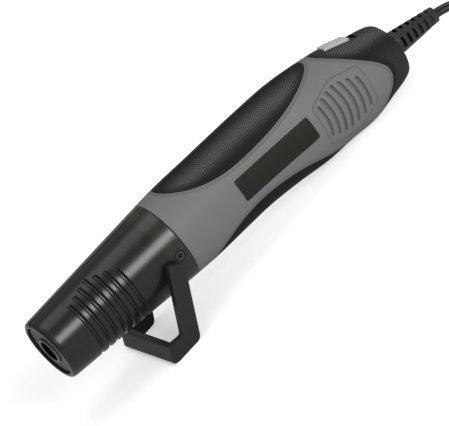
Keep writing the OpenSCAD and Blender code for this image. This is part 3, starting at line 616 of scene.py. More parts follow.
def gripReach(x, grip, grow):
    # half the angle that a grip covers at x: two half ellipses that meet at its widest place
    start, length = grip
    t = np.clip((x - start + grow) / (length + 2 * grow), 0, 1)
    peak = handleForm["gripPeak"]
    u = np.where(t < peak, 1 - t / peak, (t - peak) / (1 - peak))
    half = (handleForm["gripHalf"] * np.sqrt(np.clip(1 - u * u, 0, 1))
            + grow * handleForm["gripGrow"] + handleForm["gripTip"])
    return np.where((x < start - grow) | (x > start + length + grow), 0, half)


def capEdge(a):
    # front edge of the tail cap: a grey tongue reaches into it on each side, a cosine above and below its tip
    f = handleForm
    b = np.where(a > 90, 180 - a, a)
    up = np.where(b < -90, -180 - b, b) - f["tongueAt"]
    s = np.where(up > 0, up / f["tongueUp"], -up / f["tongueDown"])
    bend = np.cos(np.radians(90 * np.clip(s, 0, 1)))
    return f["capStart"] + f["tongue"] * bend ** np.where(up > 0, *f["tongueBend"])


def gripOutline(grip, middle, grow, side=1):
    # one border of a grip from tip to tip, as points on the handle
    t = (1 - np.cos(np.linspace(0, np.pi, 121))) / 2
    x = grip[0] - grow + (grip[1] + 2 * grow) * t
    half = gripReach(np.clip(x, grip[0] - grow + 1e-6, grip[0] + grip[1] + grow - 1e-6), grip, grow)
    return onHandle(x, middle - side * half, 0)


ventForm = {"count": 7, "pitch": 4.45, "width": 1.7, "middle": 195.2, "low": 1, "bow": 46.0, "tip": 6.5,
            "length": 26.0, "taper": 0.85, "depth": 1.3, "dark": 0.22,
            "spread": 0.12, "wall": 0.3, "steep": 1.4,
            "lineAt": 0.3, "lineWidth": 0.36, "lineDepth": 0.26, "lineDark": 0.38, "cornerRound": 0.9,
            "panel": [(213.3, 5.3), (211.5, -15.8), (195.6, -22.3), (177.5, -16.7), (179.4, 6.4),
                      (196.6, 10.6)]}


def ventShape(x, z):
    # depth of the bowed air slots and of the fine line round them, and how much painted shade each place gets
    f = ventForm
    c, s = turned(f["tip"])
    dx, dz = x - f["middle"], z + sectionCurve(f["middle"], 3) + f["low"]
    u, w = dx * c - dz * s, dx * s + dz * c
    slots = np.zeros_like(x)
    for i in range(f["count"]):
        # each slot is a band round an arc of radius bow, shorter away from the middle one
        k = i - (f["count"] - 1) / 2
        half = (f["length"] - f["taper"] * k * k - f["width"]) / 2 / f["bow"]
        out = u - (k * f["pitch"] - f["bow"])
        turn = np.clip(np.arctan2(w, out), -half, half)
        d = np.hypot(out - f["bow"] * np.cos(turn), w - f["bow"] * np.sin(turn))
        into = np.clip((f["width"] / 2 + f["spread"] - d) / f["wall"], 0, 1)
        slots = np.maximum(slots, into ** f["steep"])
    # the line follows a polygon with rounded corners: the smooth greatest of the distances to its sides
    p = np.array(f["panel"])
    along = np.roll(p, -1, axis=0) - p
    n = np.stack([along[:, 1], -along[:, 0]], -1) / np.linalg.norm(along, axis=1)[:, None]
    n *= np.sign(((p - p.mean(0)) * n).sum(1))[:, None]
    far = (x[..., None] - p[:, 0]) * n[:, 0] + (z[..., None] - p[:, 1]) * n[:, 1]
    k = f["cornerRound"]
    top = far.max(-1)
    outside = top + k * np.log(np.exp((far - top[..., None]) / k).sum(-1))
    line = np.exp(-((outside - f["lineAt"]) / f["lineWidth"]) ** 2)
    return (f["depth"] * slots + f["lineDepth"] * line,
            np.clip(f["dark"] * slots + f["lineDark"] * line, 0, 1))


# columns: those near a border lie this far from it, with so many between them and in each grip's seat
shellGrid = {"border": [0, 0.1, 0.22, 0.4, 0.75, 1.15, 1.45, 1.75, 2.05, 2.4, 2.9], "across": 142, "seat": 7,
             "tongue": 94, "underCap": 11, "inner": 3}


def shellRows(side):
    # rows along the handle: close together at the grips' tips, at the vents and round the far side's screws
    rows = [np.array([0, 0.1, 0.22, 0.4, 0.8, 1.8, 3.2]) + handleForm["start"], np.arange(87.6, 97.01, 0.2),
            np.arange(98, 120, 1.3)]
    if side < 0:
        rows.append(np.arange(120, 175, 1.7))
    else:
        rows += [np.arange(120, 148.6, 1.7), np.arange(149, 155.1, 0.3), np.arange(156.2, 170.4, 1.6),
                 np.arange(171, 176, 0.3)]
    rows.append(np.arange(176, 196.5, 0.29))
    return np.unique(np.concatenate(rows).round(3))


def shellPlaces(side):
    # x, angle and "in a seat" of each point: columns follow the grips' borders, and the rows past the grips
    # lean towards the cap's edge
    f, g = handleForm, shellGrid
    x = shellRows(side)
    low = -90 + gripReach(x, f["lowGrip"], f["gap"])[:, None]
    high = 90 - gripReach(x, f["topGrip"], f["gap"])[:, None]
    offset = np.degrees(np.array(g["border"]) / sectionCurve(x, 1)[:, None])
    first, last = low + offset[:, -1:], high - offset[:, -1:]
    seat = np.linspace(0, 1, g["seat"])
    angles = np.concatenate([-90 + (low + 90) * seat, low + offset[:, :-1],
                             first + (last - first) * np.linspace(0, 1, g["across"]),
                             high - offset[:, -2::-1], high + (90 - high) * seat], 1)
    inSeat = np.zeros(angles.shape, bool)
    inSeat[:, :g["seat"]] = inSeat[:, -g["seat"]:] = True
    rest = angles[-1]
    edge = capEdge(rest) - f["gap"]
    s = np.append(np.linspace(0, 1, g["tongue"] + 2)[1:-1] ** 0.92, [0.988, 0.994, 0.998, 1])[:, None]
    tongue = x[-1] + (edge - x[-1]) * s
    under = edge + (f["tail"] - f["gripDepth"] - edge) * np.linspace(0, 1, g["underCap"])[:, None] ** 0.8
    xs = np.concatenate([np.repeat(x[:, None], len(rest), 1), tongue, under])
    angles = np.concatenate([angles, np.repeat(rest[None], len(tongue) + len(under), 0)])
    inSeat = np.concatenate([inSeat, np.zeros(tongue.shape, bool), np.ones(under.shape, bool)])
    # the inner wall uses every third row and column, so spare ones go: rows by the tail, columns in a seat
    rows, cols = xs.shape
    spareRows, spareCols = (rows - 1) % g["inner"], (cols - 1) % g["inner"]
    keep = np.ix_(np.delete(np.arange(rows), np.arange(rows - 1 - spareRows, rows - 1)),
                  np.delete(np.arange(cols), np.arange(2, 2 + spareCols)))
    return xs[keep], angles[keep], inSeat[keep]


def shellDepth(side, xs, angles, inSeat):
    # how far each point is pressed in, and how much painted shade it gets
    f, g = handleForm, shadeForm
    surface = onHandle(xs, angles, 0.0)
    ring = np.linspace(-90, 90, 121)
    grips = np.minimum(distanceToLine(surface, gripOutline(f["topGrip"], 90, f["gap"])),
                       distanceToLine(surface, gripOutline(f["lowGrip"], -90, f["gap"], -1)))
    cap = distanceToLine(surface, onHandle(capEdge(ring) - f["gap"], ring, 0))
    nearest = np.minimum(grips, cap)
    reach = np.where(angles < 0, gripReach(xs, f["lowGrip"], f["gap"]), gripReach(xs, f["topGrip"], f["gap"]))
    covered = (reach > 0) | (xs > f["capStart"])
    depth = lip(np.minimum(nearest, xs - f["start"]), f["edge"])
    depth = np.maximum(depth, lip(np.abs(surface[..., 1]), f["seamDepth"]) * ~covered)
    crease = np.exp(-((grips - f["creaseAt"]) / f["creaseWidth"]) ** 2)
    crease += f["capCrease"] * np.exp(-((cap - f["creaseAt"]) / (2 * f["creaseWidth"])) ** 2)
    vents, dark = ventShape(xs, surface[..., 2])
    depth = depth + f["creaseDepth"] * crease + vents
    # painted shade: a band beside the grips and the cap's edge, the creases, and below, the screw wells
    band = g["band"] * np.clip((f["creaseAt"] - nearest) / g["fade"] + 0.5, 0, 1)
    painted_shade = np.clip(dark + band + g["crease"] * crease, 0, 1)
    if side > 0:
        for x, z in f["screws"]:
            well = np.clip((f["wellRadius"] - np.hypot(xs - x, surface[..., 2] - z)) / g["fade"], 0, 1)
            depth = np.maximum(depth, f["wellDepth"] * well)
            painted_shade = np.maximum(painted_shade, g["well"] * well)
    return np.where(inSeat & covered, f["gripDepth"] + f["seatSink"], depth), painted_shade


def makeShell(side):
    xs, angles, inSeat = shellPlaces(side)
    depth, painted_shade = shellDepth(side, xs, angles, inSeat)
    step = shellGrid["inner"]
    outer = onHandle(xs, angles, depth) * [1, -side, 1]
    inner = onHandle(xs[::step, ::step], angles[::step, ::step], handleForm["wall"]) * [1, -side, 1]
    points, faces = closedSkin(toRow(outer), toRow(inner), step)
    name = "left_shell" if side < 0 else "right_shell"
    masks = {"painted_shade": padded(painted_shade, len(points))}
    shell = makePiece(name + "_skin", points, faces, finish["body"], masks, sharp=50)
    print(name, xs.shape, len(shell.data.polygons))
    return shell


switchForm = {"x": 218.0, "length": 19.6, "width": 8.4, "corner": 0.9, "low": -6.0, "high": 9.0,
              "slopeOver": 8}


def rampPlace():
    # the switch ramp: its middle on top of the handle, tipped to the slope there
    x, reach = switchForm["x"], switchForm["slopeOver"]
    before, top, after = (float(sectionCurve(v, 1) - sectionCurve(v, 3)) for v in (x - reach, x, x + reach))
    return np.array([x, 0, top]), math.atan((before - after) / (2 * reach))


def cutOpening(piece, grow):
    # takes a block with rounded upright edges out of the piece, where the switch goes
    f = switchForm
    at, tip = rampPlace()
    a = np.radians(np.arange(0, 360, 15) + 7.5)
    r = f["corner"]
    px = np.sign(np.cos(a)) * (f["length"] / 2 + grow - r) + r * np.cos(a)
    py = np.sign(np.sin(a)) * (f["width"] / 2 + grow - r) + r * np.sin(a)
    ring = [np.stack([at[0] + px * math.cos(tip) + h * math.sin(tip), py,
                      at[2] - px * math.sin(tip) + h * math.cos(tip)], -1) for h in (f["low"], f["high"])]
    combined(piece, [makePiece("opening", toRow(ring), tubeFaces(2, len(a)), None)], "DIFFERENCE")
    piece.data.set_sharp_from_angle(angle=math.radians(38))


for side in (-1, 1):
    shell = makeShell(side)
    cutOpening(shell, 0.3)
    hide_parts("left_shell" if side < 0 else "right_shell")
    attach(shell, "tool")
print("shells made")


# painted highlight: the lit lines, in degrees off the top and off the bottom, with how far they spread
sheenForm = {"off": 31, "outwards": 12, "inwards": 17, "lowOff": 20, "lowSpread": 18, "low": 0.25, "fade": 5}


def sheenBand(a, fromEdge):
    # how much painted highlight a grip gets: most along its lit lines, fading towards the border
    f = sheenForm
    off = np.abs(a - 90) - f["off"]
    top = np.exp(-(off / np.where(off > 0, f["outwards"], f["inwards"])) ** 2)
    low = f["low"] * np.exp(-((np.abs(a + 90) - f["lowOff"]) / f["lowSpread"]) ** 2)
    return np.clip(top + low, 0, 1) * np.clip(fromEdge / f["fade"], 0, 1)


def makeGrip(name, grip, middle):
    # a lens of the handle's surface with rounded borders; rows run across it, closer together at its tips
    f, g = handleForm, shadeForm
    x = grip[0] + grip[1] * (1 - np.cos(np.linspace(0, np.pi, 131))) / 2
    x[[0, -1]] += [1e-5, -1e-5]
    half = gripReach(x, grip, 0.0)[:, None]
    near = np.degrees(np.array([0, 0.08, 0.2, 0.35, 0.55, 0.9]) / sectionCurve(x, 1)[:, None])
    near = np.minimum(near, half * 0.15 * np.linspace(0, 1, 6))
    # even columns, and six more beside the seam in the middle
    share = np.unique(np.append(np.linspace(0, 1, 91), 0.5 + np.array([-3, -2, -1, 1, 2, 3]) * 0.0035))
    across = -half + near[:, -1:] + 2 * (half - near[:, -1:]) * share
    angles = middle + np.concatenate([-half + near[:, :-1], across, half - near[:, -2::-1]], 1)
    xs = np.repeat(x[:, None], angles.shape[1], 1)
    surface = onHandle(xs, angles, 0.0)
    border = np.concatenate([gripOutline(grip, middle, 0.0), gripOutline(grip, middle, 0.0, -1)[::-1]])
    d = distanceToLine(surface, border)
    seam = np.exp(-(surface[..., 1] / f["gripSeam"]) ** 2)
    outer = onHandle(xs, angles, lip(d, f["gripEdge"]) * 0.9 + f["gripSeamDepth"] * seam)
    inner = onHandle(xs, angles, f["gripDepth"])[::2, ::2]
    points, faces = closedSkin(toRow(outer), toRow(inner), 2)
    smooth = np.maximum(np.clip((g["smoothBorder"] - d) / g["fade"], 0, 1),
                        np.clip((g["smoothSeam"] - np.abs(surface[..., 1])) / 0.5, 0, 1))
    total = len(points)
    # masks: smooth pads near the borders, the painted highlight, painted shade in the seam down the middle
    masks = {"smoothEdge": padded(smooth, total, 1.0), "painted_sheen": padded(sheenBand(angles, d), total),
             "painted_shade": padded(np.clip(seam * g["seam"], 0, 1), total)}
    uv = np.stack([xs, np.radians(angles - middle) * sectionCurve(xs, 1)], -1) / f["pad"]
    allUv = np.concatenate([uv.reshape(-1, 2), uv[::2, ::2].reshape(-1, 2)])
    piece = makePiece(name + "_skin", points, faces, finish["grip"], masks, allUv)
    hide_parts(name)
    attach(piece, "tool")


makeGrip("top_grip", handleForm["topGrip"], 90)
makeGrip("bottom_grip", handleForm["lowGrip"], -90)

# x and radius of the rings round the strain relief's seat, outside to inside, and of the one behind them
capForm = {"seat": [(241.98, 7.75), (241.8, 7.2), (241.4, 6.95), (240.0, 6.95)], "behind": (240.3, 7.6),
           "border": [0.0, 0.08, 0.2, 0.35, 0.55, 1.0], "rings": 73, "around": 240, "arcRadius": 21.0,
           "plainAt": 240.7, "sheenShare": 0.75, "lit": 0.34, "litFade": 4, "shade": 0.26, "shadeAt": 36,
           "shadeSpan": 16}


def makeCap():
    # rings from the cap's front edge back over the rounded tail and in to the strain relief
    f, g = handleForm, capForm
    a = np.linspace(-90, 270, g["around"] + 1)[:-1]
    start, near = capEdge(a), np.array(g["border"])[:, None]
    s = 1 - (1 - np.linspace(0, 1, g["rings"] + 1)[1:, None]) ** 1.5
    xs = np.concatenate([start + near, start + near[-1] + (f["tail"] - start - near[-1]) * s])
    angles = np.repeat(a[None], len(xs), 0)
    ring = np.linspace(-90, 270, 481)
    d = distanceToLine(onHandle(xs, angles, 0.0), onHandle(capEdge(ring), ring, 0))
    depth = lip(d, f["gripEdge"]) * 0.9 + lip(np.clip(f["tail"] - xs, 0, 9), f["tailRound"]) * 0.8

    def circle(x, radius):
        r = np.radians(a)
        return np.stack([np.full(len(a), x), -radius * np.cos(r), radius * np.sin(r) - f["tailDrop"]], -1)
    back = onHandle(xs[::-6], angles[::-6], f["gripDepth"])
    back[0] = circle(*g["behind"])
    rings = np.concatenate([onHandle(xs, angles, depth), [circle(*place) for place in g["seat"]], back,
                            onHandle(start[None], a[None], f["gripDepth"])])
    rows, cols = rings.shape[:2]
    arc = np.radians(a + 90) * g["arcRadius"]
    # the rings inside are plain, so they share one place of the pads' map
    plain = np.full((rows - len(xs), cols), g["plainAt"])
    uv = np.stack([np.concatenate([xs, plain]), np.repeat(arc[None], rows, 0)], -1) / f["pad"]
    # painted highlight on the cap along its lit lines, a painted lit share that grows away from the border,
    # less a painted shade band near shadeAt degrees
    up = np.where(angles > 90, 180 - angles, angles)
    lit = g["lit"] - g["shade"] * np.exp(-((up - g["shadeAt"]) / g["shadeSpan"]) ** 2)
    painted_sheen = g["sheenShare"] * sheenBand(angles, d) + lit * np.clip(d / g["litFade"], 0, 1)
    smooth = np.clip((shadeForm["smoothBorder"] - d) / shadeForm["fade"], 0, 1)
    masks = {"smoothEdge": padded(smooth, rows * cols, 1.0), "painted_sheen": padded(painted_sheen, rows * cols)}
    faces = [gridQuads(rows, cols, wrap=True, loop=True)]
    piece = makePiece("tail_cap_skin", toRow(rings), faces, finish["grip"], masks, uv)
    cutOpening(piece, 0.0)
    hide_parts("tail_cap")
    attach(piece, "tool")
    print("cap faces", len(piece.data.polygons))


makeCap()
print("grips and cap made")

# Nose

# grooveDark, seamDark and wellDark are painted shade in the grooves, the seam and the screw well
noseForm = {
    "length": 82.8, "tip": 18.0, "rear": 23.1, "wall": 3.0, "rim": 1.8, "bore": 15.2, "discSeat": 1.85,
    "discBack": 3.55, "discHold": 1.15, "neck": 40, "rearEdge": 0.4,
    "grooves": 7, "first": 19.7, "pitch": 4.9, "width": 2.52, "depth": 1.05, "grooveFloor": 3.2,
    "highest": 3, "climb": 65.0, "climbFall": (4.7, 8), "grooveDark": 0.75, "darkBelow": 40,
    "seam": 0.5, "seamDark": 0.66, "screwX": 77.8, "screwZ": -1.6, "screwWell": 2.6, "wellDepth": 1.75,
    "wellWall": 0.22, "wellDark": 0.7, "band": 72.8, "bandFade": 2.2, "bandTop": 60, "bandSwing": 0.25,
    "pivotX": 69.9, "pivotZ": -5.5,
    "boss": [(0.01, 23.5), (3.6, 23.5), (4.0, 23.38), (4.2, 23.0), (4.2, 20.2), (0.01, 20.2)],
}


def coneRadius(x):
    return noseForm["tip"] + (noseForm["rear"] - noseForm["tip"]) * x / noseForm["length"]


def pivotBoss(side, start):
    # the round pad that carries the stand's arm: rings of (radius, distance from the middle plane)
    f = noseForm
    a = np.radians(np.arange(0, 360, 7.5))
    points = [np.stack([f["pivotX"] + r * np.cos(a), side * y + 0 * a, f["pivotZ"] + r * np.sin(a)], -1)
              for r, y in f["boss"]]
    return np.concatenate(points), [gridQuads(len(points), len(a), start, wrap=True)]


def noseOutline():
    # the wall's outline as rows of (radius, x), and where its outside starts and ends in it
    f = noseForm
    mouth = [(f["bore"], f["discSeat"]), (f["bore"], 0.35), (f["bore"] + 0.1, 0.1), (f["bore"] + 0.35, 0.0)]
    rim = [(f["tip"] - f["rim"] * (1 - np.sin(t)), f["rim"] * (1 - np.cos(t)))
           for t in np.radians(np.linspace(0, 90, 9))]
    # close together at the grooves, the screw and the rear edge
    x = np.unique(np.concatenate([np.arange(2.4, 17.6, 1.2), np.arange(18, 52, 0.21),
                                  np.arange(52.5, 74.6, 1.2), np.arange(74.8, 81, 0.26),
                                  f["length"] - np.array([1.4, 0.9, 0.6, 0.3, 0.15, 0.05, 0])]))
    inside = [(coneRadius(v) - f["wall"], v) for v in (f["length"], f["neck"], f["discBack"])]
    hold = f["bore"] + f["discHold"]
    outside = rim + [(coneRadius(v), v) for v in x]
    outline = np.array([*mouth, *outside, *inside, (hold, f["discBack"]), (hold, f["discSeat"])])
    return outline, len(mouth), len(mouth) + len(outside)


def makeNose(side):
    # the outline of the wall turned through half a turn, with grooves, seam and screw well pressed in
    f = noseForm
    outline, first, last = noseOutline()
    turn = np.concatenate([[-90, -89.6, -89.2, -88.8], np.arange(-88, 32, 1.5), np.arange(32, 67, 0.55),
                           np.arange(67.5, 88.4, 1.5), [88.8, 89.2, 89.6, 90]])
    angle, radius, xs = (np.broadcast_to(v, (len(outline), len(turn)))
                         for v in (np.radians(turn), outline[:, :1], outline[:, 1:]))
    turn = np.degrees(angle)
    depth, painted_shade = np.zeros(xs.shape), np.zeros(xs.shape)
    for i in range(f["grooves"]):
        # each groove climbs the side to its own angle, less on either side of the highest one
        off = i - f["highest"]
        climb = f["climb"] - abs(off) * f["climbFall"][off > 0]
        past = np.clip(np.radians(turn - climb) * radius, 0, None)
        d = np.hypot(xs - f["first"] - i * f["pitch"], past)
        s = np.clip(1 - d / (f["width"] / 2), 0, 1)
        depth = np.maximum(depth, f["depth"] * (1 - (1 - s) ** f["grooveFloor"]))
        # painted shade in the groove, only below the side's middle
        painted_shade = np.maximum(painted_shade, f["grooveDark"] * np.sqrt(s) * np.clip(-turn / f["darkBelow"], 0, 1))
    fromSeam = np.abs(radius * np.cos(angle))
    well = np.hypot(xs - f["screwX"], radius * np.sin(angle) - f["screwZ"])
    well = np.clip((f["screwWell"] - well) / f["wellWall"], 0, 1)
    for press in (lip(fromSeam, f["seam"]), lip(f["length"] - xs, f["rearEdge"]), f["wellDepth"] * well):
        depth = np.maximum(depth, press)
    # painted shade along the seam and in the screw well
    painted_shade = np.maximum(painted_shade, np.clip((f["seamDark"] - fromSeam) / shadeForm["fade"], 0, 1))
    painted_shade = np.maximum(painted_shade, f["wellDark"] * well)
    swing = 1 - f["bandSwing"] * (1 - np.cos(angle - math.radians(f["bandTop"])))
    band = np.clip((xs - f["band"]) / f["bandFade"] + 0.5, 0, 1) * swing
    # only the outside is pressed and shaded
    for values in (depth, painted_shade, band):
        values[:first] = values[last:] = 0
    radius = radius - depth
    rings = np.stack([xs, side * radius * np.cos(angle), radius * np.sin(angle)], -1)
    rows, cols = xs.shape
    ends = np.arange(rows)[None] * cols
    wall = [gridQuads(rows, cols, loop=True), ends, ends[:, ::-1] + cols - 1]
    boss, bossFaces = pivotBoss(side, rows * cols)
    points = np.concatenate([rings.reshape(-1, 3), boss])
    masks = {"painted_shade": padded(painted_shade, len(points)), "band": padded(band, len(points))}
    name = "nose_left" if side < 0 else "nose_right"
    piece = makePiece(name + "_skin", toRow(points), [*outwards(points, wall), *outwards(points, bossFaces)],
                      finish["nose"], masks, sharp=50)
    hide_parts(name)
    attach(piece, "tool")
    print(name, rows, cols)


for side in (-1, 1):
    makeNose(side)


def lathe(name, outline, material, node, sides=128, painted_recess_shade=0):
    # a closed outline of (radius, x) turned about the tool's axis
    p = np.asarray(outline, float)
    a = np.radians(np.arange(sides) * 360 / sides)
    ring = np.stack([np.repeat(p[:, 1:], sides, 1), p[:, :1] * np.cos(a), p[:, :1] * np.sin(a)], -1)
    # points nearer the axis than the given radius get painted shade
    masks = {"painted_recess_shade": np.repeat((p[:, 0] < painted_recess_shade).astype(float), sides)}
    piece = makePiece(name, toRow(ring), [gridQuads(len(p), sides, wrap=True, loop=True)], material, masks)
    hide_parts(node)
    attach(piece, "tool")


outletForm = {
    "lip": 0.75, "lipMiddle": 6.75, "shadeUnder": 6.2,
    "tube": [(7.5, 13.5), (7.7, 14.0), (11.8, 17.7), (12, 18.3), (12, 67), (11.2, 67), (11.2, 18.3),
             (11.0, 17.9), (6.3, 13.4), (5.95, 12.9), (5.95, 1.6)],
    "disc": [(7.62, 1.7), (7.75, 1.5), (14.75, 1.5), (15.05, 1.75), (15.15, 2.0), (16.2, 2.0), (16.2, 3.5),
             (7.62, 3.5)],
}


def makeOutlet():
    # a rolled lip of round section, then the tube behind it with painted shade in its bore
    f = outletForm
    rolled = [(f["lipMiddle"] + f["lip"] * np.sin(t), f["lip"] * (1 - np.cos(t)))
              for t in np.radians(np.linspace(-90, 90, 13))]
    lathe("outlet_tube_skin", [*rolled, *f["tube"]], finish["steel"], "outlet_tube", painted_recess_shade=f["shadeUnder"])
    lathe("front_disc_skin", f["disc"], finish["disc"], "front_disc")


makeOutlet()


screwForm = {"head": 2.6, "cross": 1.7, "under": 0.3}


def shadeInCross(places):
    # painted shade in the cross of each screw head: what lies near its middle, under its face
    def rule(at):
        painted_recess_shade = np.zeros(len(at))
        for x, z in places:
            away = np.hypot(at[:, 0] - x, at[:, 2] - z)
            for side in (-1, 1):
                mine = (away < screwForm["head"]) & (at[:, 1] * side > 0)
                if mine.any():
                    deep = (at[mine, 1] * side).max() - at[mine, 1] * side
                    painted_recess_shade[mine] = (deep > screwForm["under"]) & (away[mine] < screwForm["cross"])
        return painted_recess_shade
    return rule


for node, places in (("nose_screws", [(noseForm["screwX"], noseForm["screwZ"])]),
                     ("shell_screws", handleForm["screws"])):
    shaded(softened(node, 0.00006, finish["screw"], segments=1), "painted_recess_shade", shadeInCross(places))
print("nose made")

# Label plate and the thin rim round it

# the rim's section is a row of (distance outwards, depth)
labelForm = {"x": 148.6, "z": -0.2, "length": 50.8, "width": 13.4, "turn": 1.0, "corner": 1.4, "thick": 0.7,
             "proud": 0.08, "edge": 0.22, "border": [0, 0.06, 0.16, 0.3, 0.6],
             "rim": [(0.03, 0.4), (0.03, -0.08), (0.12, -0.16), (0.32, -0.19), (0.52, -0.12), (0.62, 0.02),
                     (0.62, 0.4)]}


def onLabel(u, w, depth):
    # a place on the plate, u along it and w across it, laid on the labelled side
    f = labelForm
    c, s = turned(f["turn"])
    x, z = f["x"] + u * c + w * s, f["z"] - u * s + w * c
    return onHandle(x, sideAngle(x, z), depth)


def makePlate():
    # rows run across the plate and grow shorter round its corners
    f = labelForm
    hl, hw, r = f["length"] / 2, f["width"] / 2, f["corner"]
    turn = r * (1 - np.cos(np.radians(np.linspace(0, 90, 9))))
    u = np.concatenate([-hl + turn, np.linspace(-hl + r, hl - r, 60)[1:-1], (hl - turn)[::-1]])[:, None]
    over = np.clip(np.abs(u) - (hl - r), 0, r)
    near = np.array(f["border"]) / hw
    w = (hw - r + np.sqrt(r * r - over * over)) * np.concatenate([near - 1, np.linspace(-1, 1, 25)[2:-2],
                                                                  (1 - near)[::-1]])
    u = np.repeat(u, w.shape[1], 1)
    q = np.stack([np.abs(u) - (hl - r), np.abs(w) - (hw - r)], -1)
    inside = r - np.linalg.norm(np.clip(q, 0, None), axis=-1) - np.minimum(q.max(-1), 0)
    outer = onLabel(u, w, lip(inside, f["edge"]) - f["proud"])
    points, faces = closedSkin(toRow(outer), toRow(onLabel(u, w, f["thick"])))
    plate = makePiece("label_plate_skin", points, faces, finish["label"])
    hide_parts("label_plate")
    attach(plate, "tool")


def makePlateRim():
    # a low rounded rim round the plate: each ring is a rectangle with rounded corners and straight runs
    f = labelForm
    rings = []
    for out, depth in f["rim"]:
        hl, hw, r = f["length"] / 2 - f["corner"], f["width"] / 2 - f["corner"], f["corner"] + out
        arcs = []
        for quarter, (sx, sz) in enumerate([(1, 1), (-1, 1), (-1, -1), (1, -1)]):
            a = np.radians(np.linspace(0, 90, 9) + 90 * quarter)
            arcs.append(np.stack([sx * hl + r * np.cos(a), sz * hw + r * np.sin(a)], -1))
        line = []
        for arc, following in zip(arcs, arcs[1:] + arcs[:1]):
            line += [arc, arc[-1] + (following[0] - arc[-1]) * np.linspace(0, 1, 26)[1:-1, None]]
        line = np.concatenate(line)
        rings.append(onLabel(line[:, 0], line[:, 1], depth))
    rings = np.stack(rings)
    faces = [gridQuads(*rings.shape[:2], wrap=True, loop=True)]
    rim = makePiece("label_rim", toRow(rings), faces, finish["rim"])
    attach(rim, "tool")


# Stand

standForm = {"pivot": (noseForm["pivotX"], noseForm["pivotZ"]), "lean": 25.4, "armWidth": 9.2,
             "armLength": 31.2, "reach": 8.7, "foot": 13.0, "thick": 4.0, "outside": 55.6,
             "heel": (35.517, 4.8), "edge": 0.00045, "barInset": 1,
             "pivotRound": 1.6, "frontRound": 2.4, "barRound": 1.3, "footRound": 3.6, "heelRound": 4.2,
             "backAt": 0.28, "backRound": 4.0}


def standPlace(t, w):
    # a place on the stand, t down the arm and w across it, in the tool's side view
    f = standForm
    c, s = turned(f["lean"])
    return np.array([f["pivot"][0] - s * t + c * w, f["pivot"][1] - c * t - s * w])


def roundedOutline(corners):
    # each corner (t, w, radius) becomes an arc that touches both of its sides
    p = np.array([standPlace(t, w) for t, w, r in corners])
    line = []
    for i, (t, w, r) in enumerate(corners):
        a, b = p[i - 1] - p[i], p[(i + 1) % len(p)] - p[i]
        a, b = a / np.linalg.norm(a), b / np.linalg.norm(b)
        half = math.acos(np.clip(a @ b, -1, 1)) / 2
        middle = p[i] + (a + b) / np.linalg.norm(a + b) * r / math.sin(half)
        first, last = p[i] + a * r / math.tan(half) - middle, p[i] + b * r / math.tan(half) - middle
        for k in np.linspace(0, 1, 8):
            v = first * (1 - k) + last * k
            line.append(middle + v / np.linalg.norm(v) * r)
    return np.array(line)


def slab(name, outline, low, high):
    # the outline carried along y from low to high
    ends = [np.insert(outline, 1, y, axis=1) for y in (low, high)]
    return makePiece(name, toRow(ends), tubeFaces(2, len(outline)), None)


def makeStand():
    # two arms joined by a crossbar, merged and then rounded along every edge
    f = standForm
    half, arm, r = f["armWidth"] / 2, f["armLength"], f["barRound"]
    bar, low = -half - f["reach"], arm + f["foot"]
    # the crossbar's corners, seen from the side: front, foot and back, each a little off square
    front, foot, back = (arm + 3.4, bar, r), (low - 0.2, bar + 0.6, r), (low - 0.8, bar + f["thick"])
    side = roundedOutline([(-half, -half, f["pivotRound"]), (arm, -half, f["frontRound"]), front, foot,
                           (*back, f["footRound"]), (*f["heel"], f["heelRound"]),
                           (arm * f["backAt"], half, f["backRound"]), (-half, half, f["pivotRound"])])
    cross = roundedOutline([front, foot, (*back, r), (arm + 1.9, bar + f["thick"], 1.2)])
    outer = f["outside"] / 2
    stand = slab("stand_skin", side, outer - f["thick"], outer)
    combined(stand, [slab("farArm", side, -outer, f["thick"] - outer),
                     slab("crossbar", cross, f["barInset"] - outer, outer - f["barInset"])], "UNION")
    stand.data.materials.clear()
    stand.data.materials.append(finish["stand"])
    merged(stand.data, 2e-5)
    bevelled(stand, f["edge"], 3).harden_normals = True
    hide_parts("stand")
    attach(stand, "stand")


makePlate()
makePlateRim()
makeStand()
softened("switch_knob", 0.00018, finish["knob"], body="switch_knob", segments=2)
print("label, stand and knob made")

# Nodes that stay as they are, mostly out of sight

kept = {"mica_sleeve": "mica", "heater_core": "mica", "heater_wire": "wire", "thermal_fuse": "white",
        "heater_holder": "ceramic", "pivot_pins": "nickel", "motor": "can", "motor_mount": "black",
        "motor_shaft": "nickel", "fan": "black", "circuit_board": "board", "switch_body": "black"}
for node, key in kept.items():
    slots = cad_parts[node].data.materials
    slots.clear()
    slots.append(finish[key])
print("inner nodes finished:", len(kept))

# Floor, light and world

# the floor's lift is its own light for the camera: at the nose, under the handle and far away
studio = {"floor": 7.0, "floorTone": 0.95, "lift": 0.44, "handleLift": 0.6, "farLift": 0.68, "world": 0.38,
          "noseEnd": -0.07, "handleFrom": 0.03, "nearFloor": 0.4, "farFloor": 1.4, "aim": (0, 0, 0.03),
          "lamps": [("keyLamp", (0.27, -1.65, 0.91), 0.62, 17.4), ("topLamp", (0.47, 0.06, 1.75), 1.1, 6.4)]}


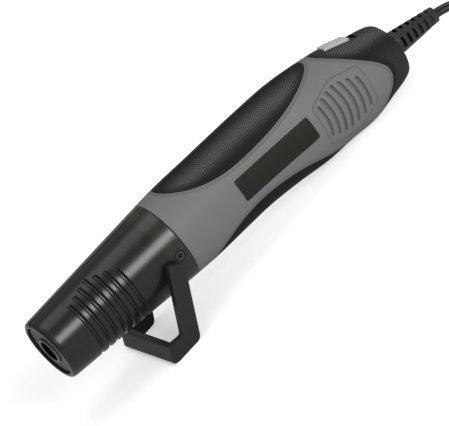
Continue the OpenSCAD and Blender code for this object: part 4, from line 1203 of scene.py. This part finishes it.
def makeFloor():
    # white up to the shadow, which fades along the handle; other rays see the plain pale floor
    f = studio
    mesh = bpy.data.meshes.new("paleFloor")
    s = f["floor"]
    mesh.from_pydata([(-s, -s, 0), (s, -s, 0), (s, s, 0), (-s, s, 0)], [], [(0, 1, 2, 3)])
    material, tree, socket = newMaterial("paleFloor")
    socket["Roughness"].default_value = 0.9
    socket["Specular IOR Level"].default_value = 0.1
    socket["Base Color"].default_value = (f["floorTone"], f["floorTone"], f["floorTone"], 1)
    socket["Emission Color"].default_value = (1, 1, 1, 1)
    place = put(tree, "TexCoord").outputs["Object"]
    along = put(tree, "SeparateXYZ", {"Vector": place}).outputs["X"]
    near = between(tree, along, f["lift"], f["handleLift"], f["noseEnd"], f["handleFrom"])
    far = put(tree, "VectorMath", {0: place}, operation="LENGTH").outputs["Value"]
    share = between(tree, far, near, f["farLift"], f["nearFloor"], f["farFloor"])
    seen = put(tree, "LightPath").outputs["Is Camera Ray"]
    lift = put(tree, "Math", {0: seen, 1: share}, operation="MULTIPLY").outputs[0]
    tree.links.new(lift, socket["Emission Strength"])
    mesh.materials.append(material)
    placed("paleFloor", mesh)


def makeLight():
    # a white world for the camera, a dimmer one that lights, and two soft lamps
    world = bpy.data.worlds.new("studio")
    world.use_nodes = True
    bpy.context.scene.world = world
    tree = world.node_tree
    back = tree.nodes["Background"]
    back.inputs["Color"].default_value = (1, 1, 1, 1)
    back.inputs["Strength"].default_value = studio["world"]
    white = put(tree, "Background", {"Color": (1, 1, 1, 1)})
    choose = put(tree, "MixShader", {0: put(tree, "LightPath").outputs["Is Camera Ray"], 1: back.outputs[0],
                                     2: white.outputs[0]})
    tree.links.new(choose.outputs[0], tree.nodes["World Output"].inputs[0])
    for name, place, size, power in studio["lamps"]:
        light = bpy.data.lights.new(name, "AREA")
        light.size, light.energy = size, power
        lamp = placed(name, light)
        lamp.location = place
        lamp.rotation_mode = "QUATERNION"
        lamp.rotation_quaternion = (Vector(studio["aim"]) - Vector(place)).to_track_quat("-Z", "Y")


makeFloor()
makeLight()
bpy.context.scene.view_settings.view_transform = "Standard"
print("studio set")
